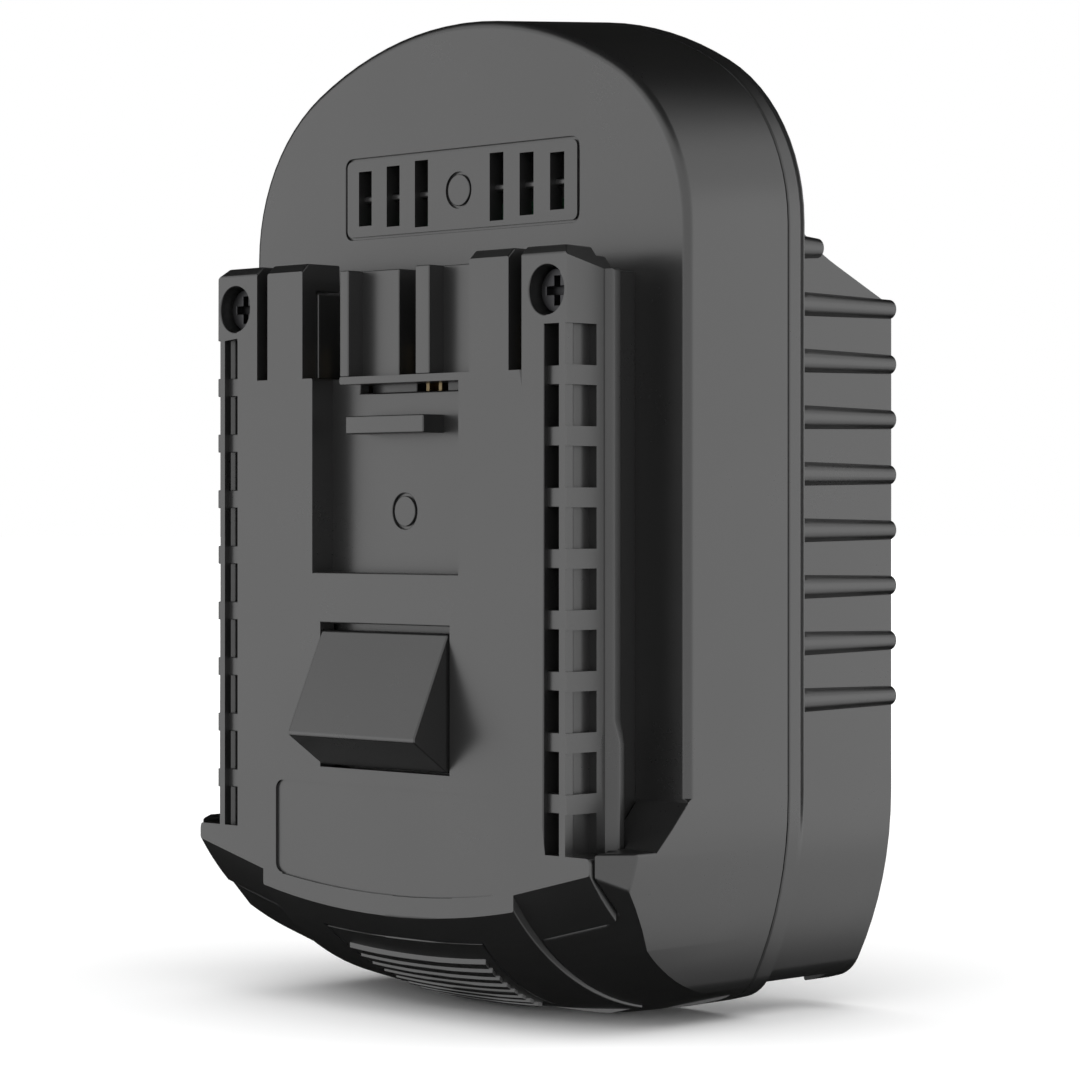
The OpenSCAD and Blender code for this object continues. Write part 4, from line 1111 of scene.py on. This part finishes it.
@dataclass
class LatchGear:
    """The sprung latch, its pin and the bridge that its springs push against."""

    edge: Rounding = Rounding(0.3)
    bridge_edge: Rounding = Rounding(0.3, 2)
    screw_edge: Rounding = SCREW_EDGE
    pin_edge: Rounding = Rounding(0.2, 2)
    spring_x_mm: float = 6.0
    spring_z_mm: float = 42.0
    coil_r_mm: float = 2.7
    wire_r_mm: float = 0.35
    turns: float = 7.0
    end_pitch: float = 0.25
    front_y_mm: float = -17.3
    back_y_mm: float = -3.1
    travel_mm: float = 5.5
    rings: int = 360
    sides: int = 14

    def spring(self, kit: Assembly, side: int) -> None:
        """Wind one spring as a tube along a helix round Y.

        The helix climbs slowly over its first and last turn and evenly between, and each ring of the
        tube lies in the plane of the coil's radius and the spring's axis.

        Args:
            kit: the shared parts.
            side: -1 for the left spring or 1 for the right one.
        """
        t = np.linspace(0, 1, self.rings)
        turn = 2 * np.pi * self.turns * t
        pitch = np.clip(np.minimum(t, 1 - t) * self.turns, self.end_pitch, 1)
        climb = np.concatenate([[0], np.cumsum((pitch[1:] + pitch[:-1]) / 2)])
        length = self.back_y_mm - self.front_y_mm
        span = length - 2 * self.wire_r_mm
        y = self.front_y_mm + self.wire_r_mm + span * climb / climb[-1]
        round_wire = np.linspace(0, 2 * np.pi, self.sides, endpoint=False)
        out = self.coil_r_mm + self.wire_r_mm * np.cos(round_wire)[None, :]
        points = np.stack(
            [
                side * self.spring_x_mm + out * np.cos(turn)[:, None],
                y[:, None] + self.wire_r_mm * np.sin(round_wire)[None, :],
                self.spring_z_mm + out * np.sin(turn)[:, None],
            ],
            axis=-1,
        )
        word = "left" if side < 0 else "right"
        piece = grid_object(f"latch_spring_{word}", points * MM)
        kit.settle(piece, Body.HOUSING, Slot.STEEL, "latch_springs")
        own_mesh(piece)

    def build(self, kit: Assembly) -> None:
        """Dress the latch and its pin, wind the springs and dress the bridge and its screws.

        Args:
            kit: the shared parts.
        """
        kit.dress("latch", "moulded", Body.LATCH, Slot.HOUSING, self.edge)
        kit.dress("latch_pin", "turned", Body.LATCH, Slot.STEEL, self.pin_edge)
        for side in (-1, 1):
            self.spring(kit, side)
        kit.dress("spring_bridge", "moulded", Body.HOUSING, Slot.INNER, self.bridge_edge)
        kit.dress("bridge_screws", "turned", Body.HOUSING, Slot.STEEL, self.screw_edge)


@dataclass
class ButtonTongue:
    """The ribbed release button under the chin."""

    edge: Rounding = Rounding(0.2)

    def build(self, kit: Assembly) -> None:
        """Dress the button."""
        kit.dress("release_button", "moulded", Body.BUTTON, Slot.HOUSING, self.edge)


@dataclass
class PowerBoard:
    """The circuit board with its transistors, capacitor and screws."""

    board_edge: Rounding = Rounding(0.12, 2)
    chip_edge: Rounding = Rounding(0.3, 2)
    screw_edge: Rounding = SCREW_EDGE
    can_round_mm: float = 0.6
    crimp_mm: float = 1.8
    crimp_half_mm: float = 0.7
    crimp_depth_mm: float = 0.3
    end_rings: int = 8
    side_rings: int = 40
    sides: int = 48

    def can(self, kit: Assembly) -> None:
        """Turn the capacitor's can about its own axis, which runs along X.

        The radius follows a profile: a quarter round at each end, and a crimped ring near the foot where
        it dips by a raised cosine.

        Args:
            kit: the shared parts.
        """
        low, high = (np.array(corner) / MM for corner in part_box("capacitor"))
        middle = (low + high) / 2
        radius = (high[2] - low[2]) / 2
        bend = np.linspace(0, np.pi / 2, self.end_rings)
        foot = low[0] + self.can_round_mm * (1 - np.cos(bend))
        head = high[0] - self.can_round_mm * (1 - np.cos(bend[::-1]))
        along = np.concatenate([foot, np.linspace(foot[-1], head[0], self.side_rings)[1:-1], head])
        edge = np.minimum(along - low[0], high[0] - along)
        inset = np.clip(self.can_round_mm - edge, 0, None)
        drop = self.can_round_mm - np.sqrt(np.clip(self.can_round_mm**2 - inset**2, 0, None))
        wave = np.clip(np.abs(along - low[0] - self.crimp_mm) / self.crimp_half_mm, 0, 1)
        profile = radius - drop - self.crimp_depth_mm * (1 + np.cos(np.pi * wave)) / 2
        turn = np.linspace(0, 2 * np.pi, self.sides, endpoint=False)
        points = np.stack(
            [
                np.repeat(along[:, None], self.sides, axis=1),
                middle[1] + profile[:, None] * np.cos(turn)[None, :],
                middle[2] + profile[:, None] * np.sin(turn)[None, :],
            ],
            axis=-1,
        )
        piece = grid_object("capacitor_can", points * MM)
        kit.settle(piece, Body.HOUSING, Slot.CAN, "capacitor")

    def build(self, kit: Assembly) -> None:
        """Dress the board and what is on it.

        Args:
            kit: the shared parts.
        """
        kit.dress("circuit_board", "routed", Body.HOUSING, Slot.BOARD, self.board_edge)
        kit.dress("power_transistors", "moulded", Body.HOUSING, Slot.INNER, self.chip_edge)
        self.can(kit)
        kit.dress("board_screws", "turned", Body.HOUSING, Slot.STEEL, self.screw_edge)


@dataclass
class BatteryPort:
    """The terminal block, the blades for the battery and the screws that close the housing."""

    block_edge: Rounding = Rounding(0.3)
    blade_edge: Rounding = Rounding(0.12, 2)
    screw_edge: Rounding = SCREW_EDGE

    def build(self, kit: Assembly) -> None:
        """Dress the block, the blades and the screws.

        Args:
            kit: the shared parts.
        """
        kit.dress("battery_terminal_block", "moulded", Body.HOUSING, Slot.INNER, self.block_edge)
        for node in ("battery_blade_positive", "battery_blade_negative", "battery_signal_blades"):
            kit.dress(node, "stamped", Body.HOUSING, Slot.CONTACT, self.blade_edge)
        kit.dress("housing_screws", "turned", Body.HOUSING, Slot.STEEL, self.screw_edge)


# Studio


@dataclass(frozen=True)
class Lamp:
    """A soft wide lamp."""

    name: str
    direction: tuple[float, float, float]
    distance_m: float = 0.8
    size_m: tuple[float, float] = (1.0, 0.5)
    watts: float = 0.55

    def hang(self, aim: Vector) -> None:
        """Hang the lamp on its direction from a point, facing it.

        Args:
            aim: the point that the lamp faces.
        """
        light = bpy.data.lights.new(self.name, "AREA")
        light.energy = self.watts
        light.shape = "RECTANGLE"
        light.size, light.size_y = self.size_m
        obj = link(self.name, light)
        obj.location = aim + Vector(self.direction).normalized() * self.distance_m
        obj.rotation_euler = (aim - obj.location).to_track_quat("-Z", "Y").to_euler()


@dataclass(frozen=True)
class Card:
    """A flat square card of the studio, spanned by two directions, with one dull tone."""

    name: str
    finish: str
    level: float
    half_m: float
    across: tuple[float, float, float]
    along: tuple[float, float, float]

    def set_up(self, middle: np.ndarray) -> bpy.types.Object:
        """Put the card up in the studio.

        Its corners lie half_m to both sides of the middle along each direction.

        Args:
            middle: the card's middle, in metres.

        Returns:
            The card.
        """
        corner = self.half_m * np.array([[-1, -1], [1, -1], [1, 1], [-1, 1]])
        points = middle + corner @ np.array([self.across, self.along])
        mesh = bpy.data.meshes.new(self.name)
        mesh.from_pydata(points.tolist(), [], [[0, 1, 2, 3]])
        material = bpy.data.materials.new(self.finish)
        sheet = NodeSheet(material)
        sheet.surface(sheet.add("ShaderNodeBsdfDiffuse", {}, {"Color": grey(self.level)}))
        mesh.materials.append(material)
        obj = link(self.name, mesh)
        return obj


@dataclass
class Studio:
    """White backdrop, pale floor, black card, soft lamps and the camera."""

    eye_m: tuple[float, float, float] = (0.3152, -0.31105, 0.0606)
    turn_deg: float = 45.0
    focal_px: float = 3535.0
    drop_px: float = 21.0
    sensor_mm: float = 36.0
    clip_m: float = 0.01
    aim_m: tuple[float, float, float] = (0.0, 0.0, 0.06)
    band_above: tuple[float, float] = (0.55, 0.85)
    band_below: tuple[float, float] = (0.5, 0.64)
    floor_half_m: float = 8.0
    floor_drop_m: float = 0.0001
    floor_level: float = 0.95
    floor_sun: float = 3.4
    floor_sun_deg: float = 110.0
    flag_distance_m: float = 0.17
    flag_half_m: float = 0.36
    flag_level: float = 0.005
    lamps: tuple[Lamp, ...] = (
        Lamp("key_lamp", (-0.7, -0.7, 0.05)),
        Lamp("side_lamp", (0.7, 0.7, 0.05)),
    )

    def camera(self) -> None:
        """Set up the camera at the photograph's place and angle."""
        data = bpy.data.cameras.new("camera")
        data.sensor_width = self.sensor_mm
        data.lens = self.focal_px / IMAGE_W * self.sensor_mm
        data.shift_y = -self.drop_px / IMAGE_W
        data.clip_start = self.clip_m
        obj = link("camera", data)
        obj.location = self.eye_m
        obj.rotation_euler = (math.radians(90), 0, math.radians(self.turn_deg))
        bpy.context.scene.camera = obj

    def backdrop(self) -> None:
        """Set up a white backdrop all round at eye level, dark overhead and underfoot.

        Its strength falls from 1 to 0 with the sine of a ray's height, by a smooth step above the horizon
        and a shorter one below it.
        """
        world = bpy.data.worlds.new("backdrop")
        bpy.context.scene.world = world
        sheet = NodeSheet(world)
        height = sheet.part(sheet.add("ShaderNodeTexCoord", output="Generated"), "Z")
        above = sheet.fade(height, *self.band_above)
        below = sheet.fade(height * -1.0, *self.band_below)
        world.cycles.sampling_method = "NONE"
        white = sheet.add("ShaderNodeBackground", {}, {"Color": grey(1.0), "Strength": above * below})
        sheet.surface(white, "ShaderNodeOutputWorld")

    def floor(self) -> None:
        """Lay a flat pale floor that keeps the shadow and throws no light back at the object."""
        card = Card("floor", "pale_floor", self.floor_level, self.floor_half_m, (1, 0, 0), (0, 1, 0))
        obj = card.set_up(np.array([0, 0, -self.floor_drop_m]))
        obj.visible_diffuse = False
        obj.visible_glossy = False
        obj.visible_shadow = False
        self.floor_light(obj)

    def floor_light(self, floor: bpy.types.Object) -> None:
        """Hang a wide soft sun that lights the floor alone, with the object's shadow in it.

        Args:
            floor: the floor.
        """
        light = bpy.data.lights.new("floor_sun", "SUN")
        light.energy = self.floor_sun
        light.angle = math.radians(self.floor_sun_deg)
        only = bpy.data.collections.new("floor_only")
        only.objects.link(floor)
        link("floor_sun", light).light_linking.receiver_collection = only

    def flag(self) -> None:
        """Put a black card behind the object, unseen by the camera, that darkens grazing reflections."""
        turn = math.radians(self.turn_deg)
        right = (math.cos(turn), math.sin(turn), 0.0)
        ahead = np.array([-math.sin(turn), math.cos(turn), 0.0])
        card = Card("flag", "black_card", self.flag_level, self.flag_half_m, right, (0, 0, 1))
        obj = card.set_up(np.array(self.aim_m) + ahead * self.flag_distance_m)
        obj.visible_camera = False
        obj.visible_shadow = False

    def build(self) -> None:
        """Set up the camera, the backdrop, the floor, the black card and the lamps."""
        self.camera()
        self.backdrop()
        self.floor()
        self.flag()
        for lamp in self.lamps:
            lamp.hang(Vector(self.aim_m))
        bpy.context.scene.view_settings.view_transform = "Standard"


def finishes() -> dict[Slot, bpy.types.Material]:
    """Make a material for each slot.

    Returns:
        The materials.
    """
    looks = {
        Slot.HOUSING: MouldedPlastic("satin_black_plastic", level=0.018, rim_fall_mm=0.25),
        Slot.INNER: MouldedPlastic("matte_black_plastic", level=0.012, roughness=0.5, specular=0.4),
        Slot.CONTACT: RolledMetal(
            "brass_strip", colour=(0.36, 0.28, 0.16, 1.0), roughness=0.4, line_mm=(1.5, 1.5, 12.0)
        ),
        Slot.STEEL: RolledMetal(
            "black_zinc", colour=(0.07, 0.07, 0.073, 1.0), roughness=0.4, line_mm=(3.0, 3.0, 3.0)
        ),
        Slot.BOARD: SolderMask(),
        Slot.CAN: ShrinkSleeve(),
    }
    return {slot: finish.paint() for slot, finish in looks.items()}


def main() -> None:
    """Load the frame, dress every sub-assembly and set up the studio."""
    logging.basicConfig(level=logging.INFO, format="%(name)s %(message)s")
    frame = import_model()
    kit = Assembly(frame["nodes"], finishes())
    for part in (
        HousingShells(),
        SlidePlate(),
        ToolContacts(),
        LatchGear(),
        ButtonTongue(),
        PowerBoard(),
        BatteryPort(),
    ):
        part.build(kit)
    Studio().build()


if __name__ == "__main__":
    main()
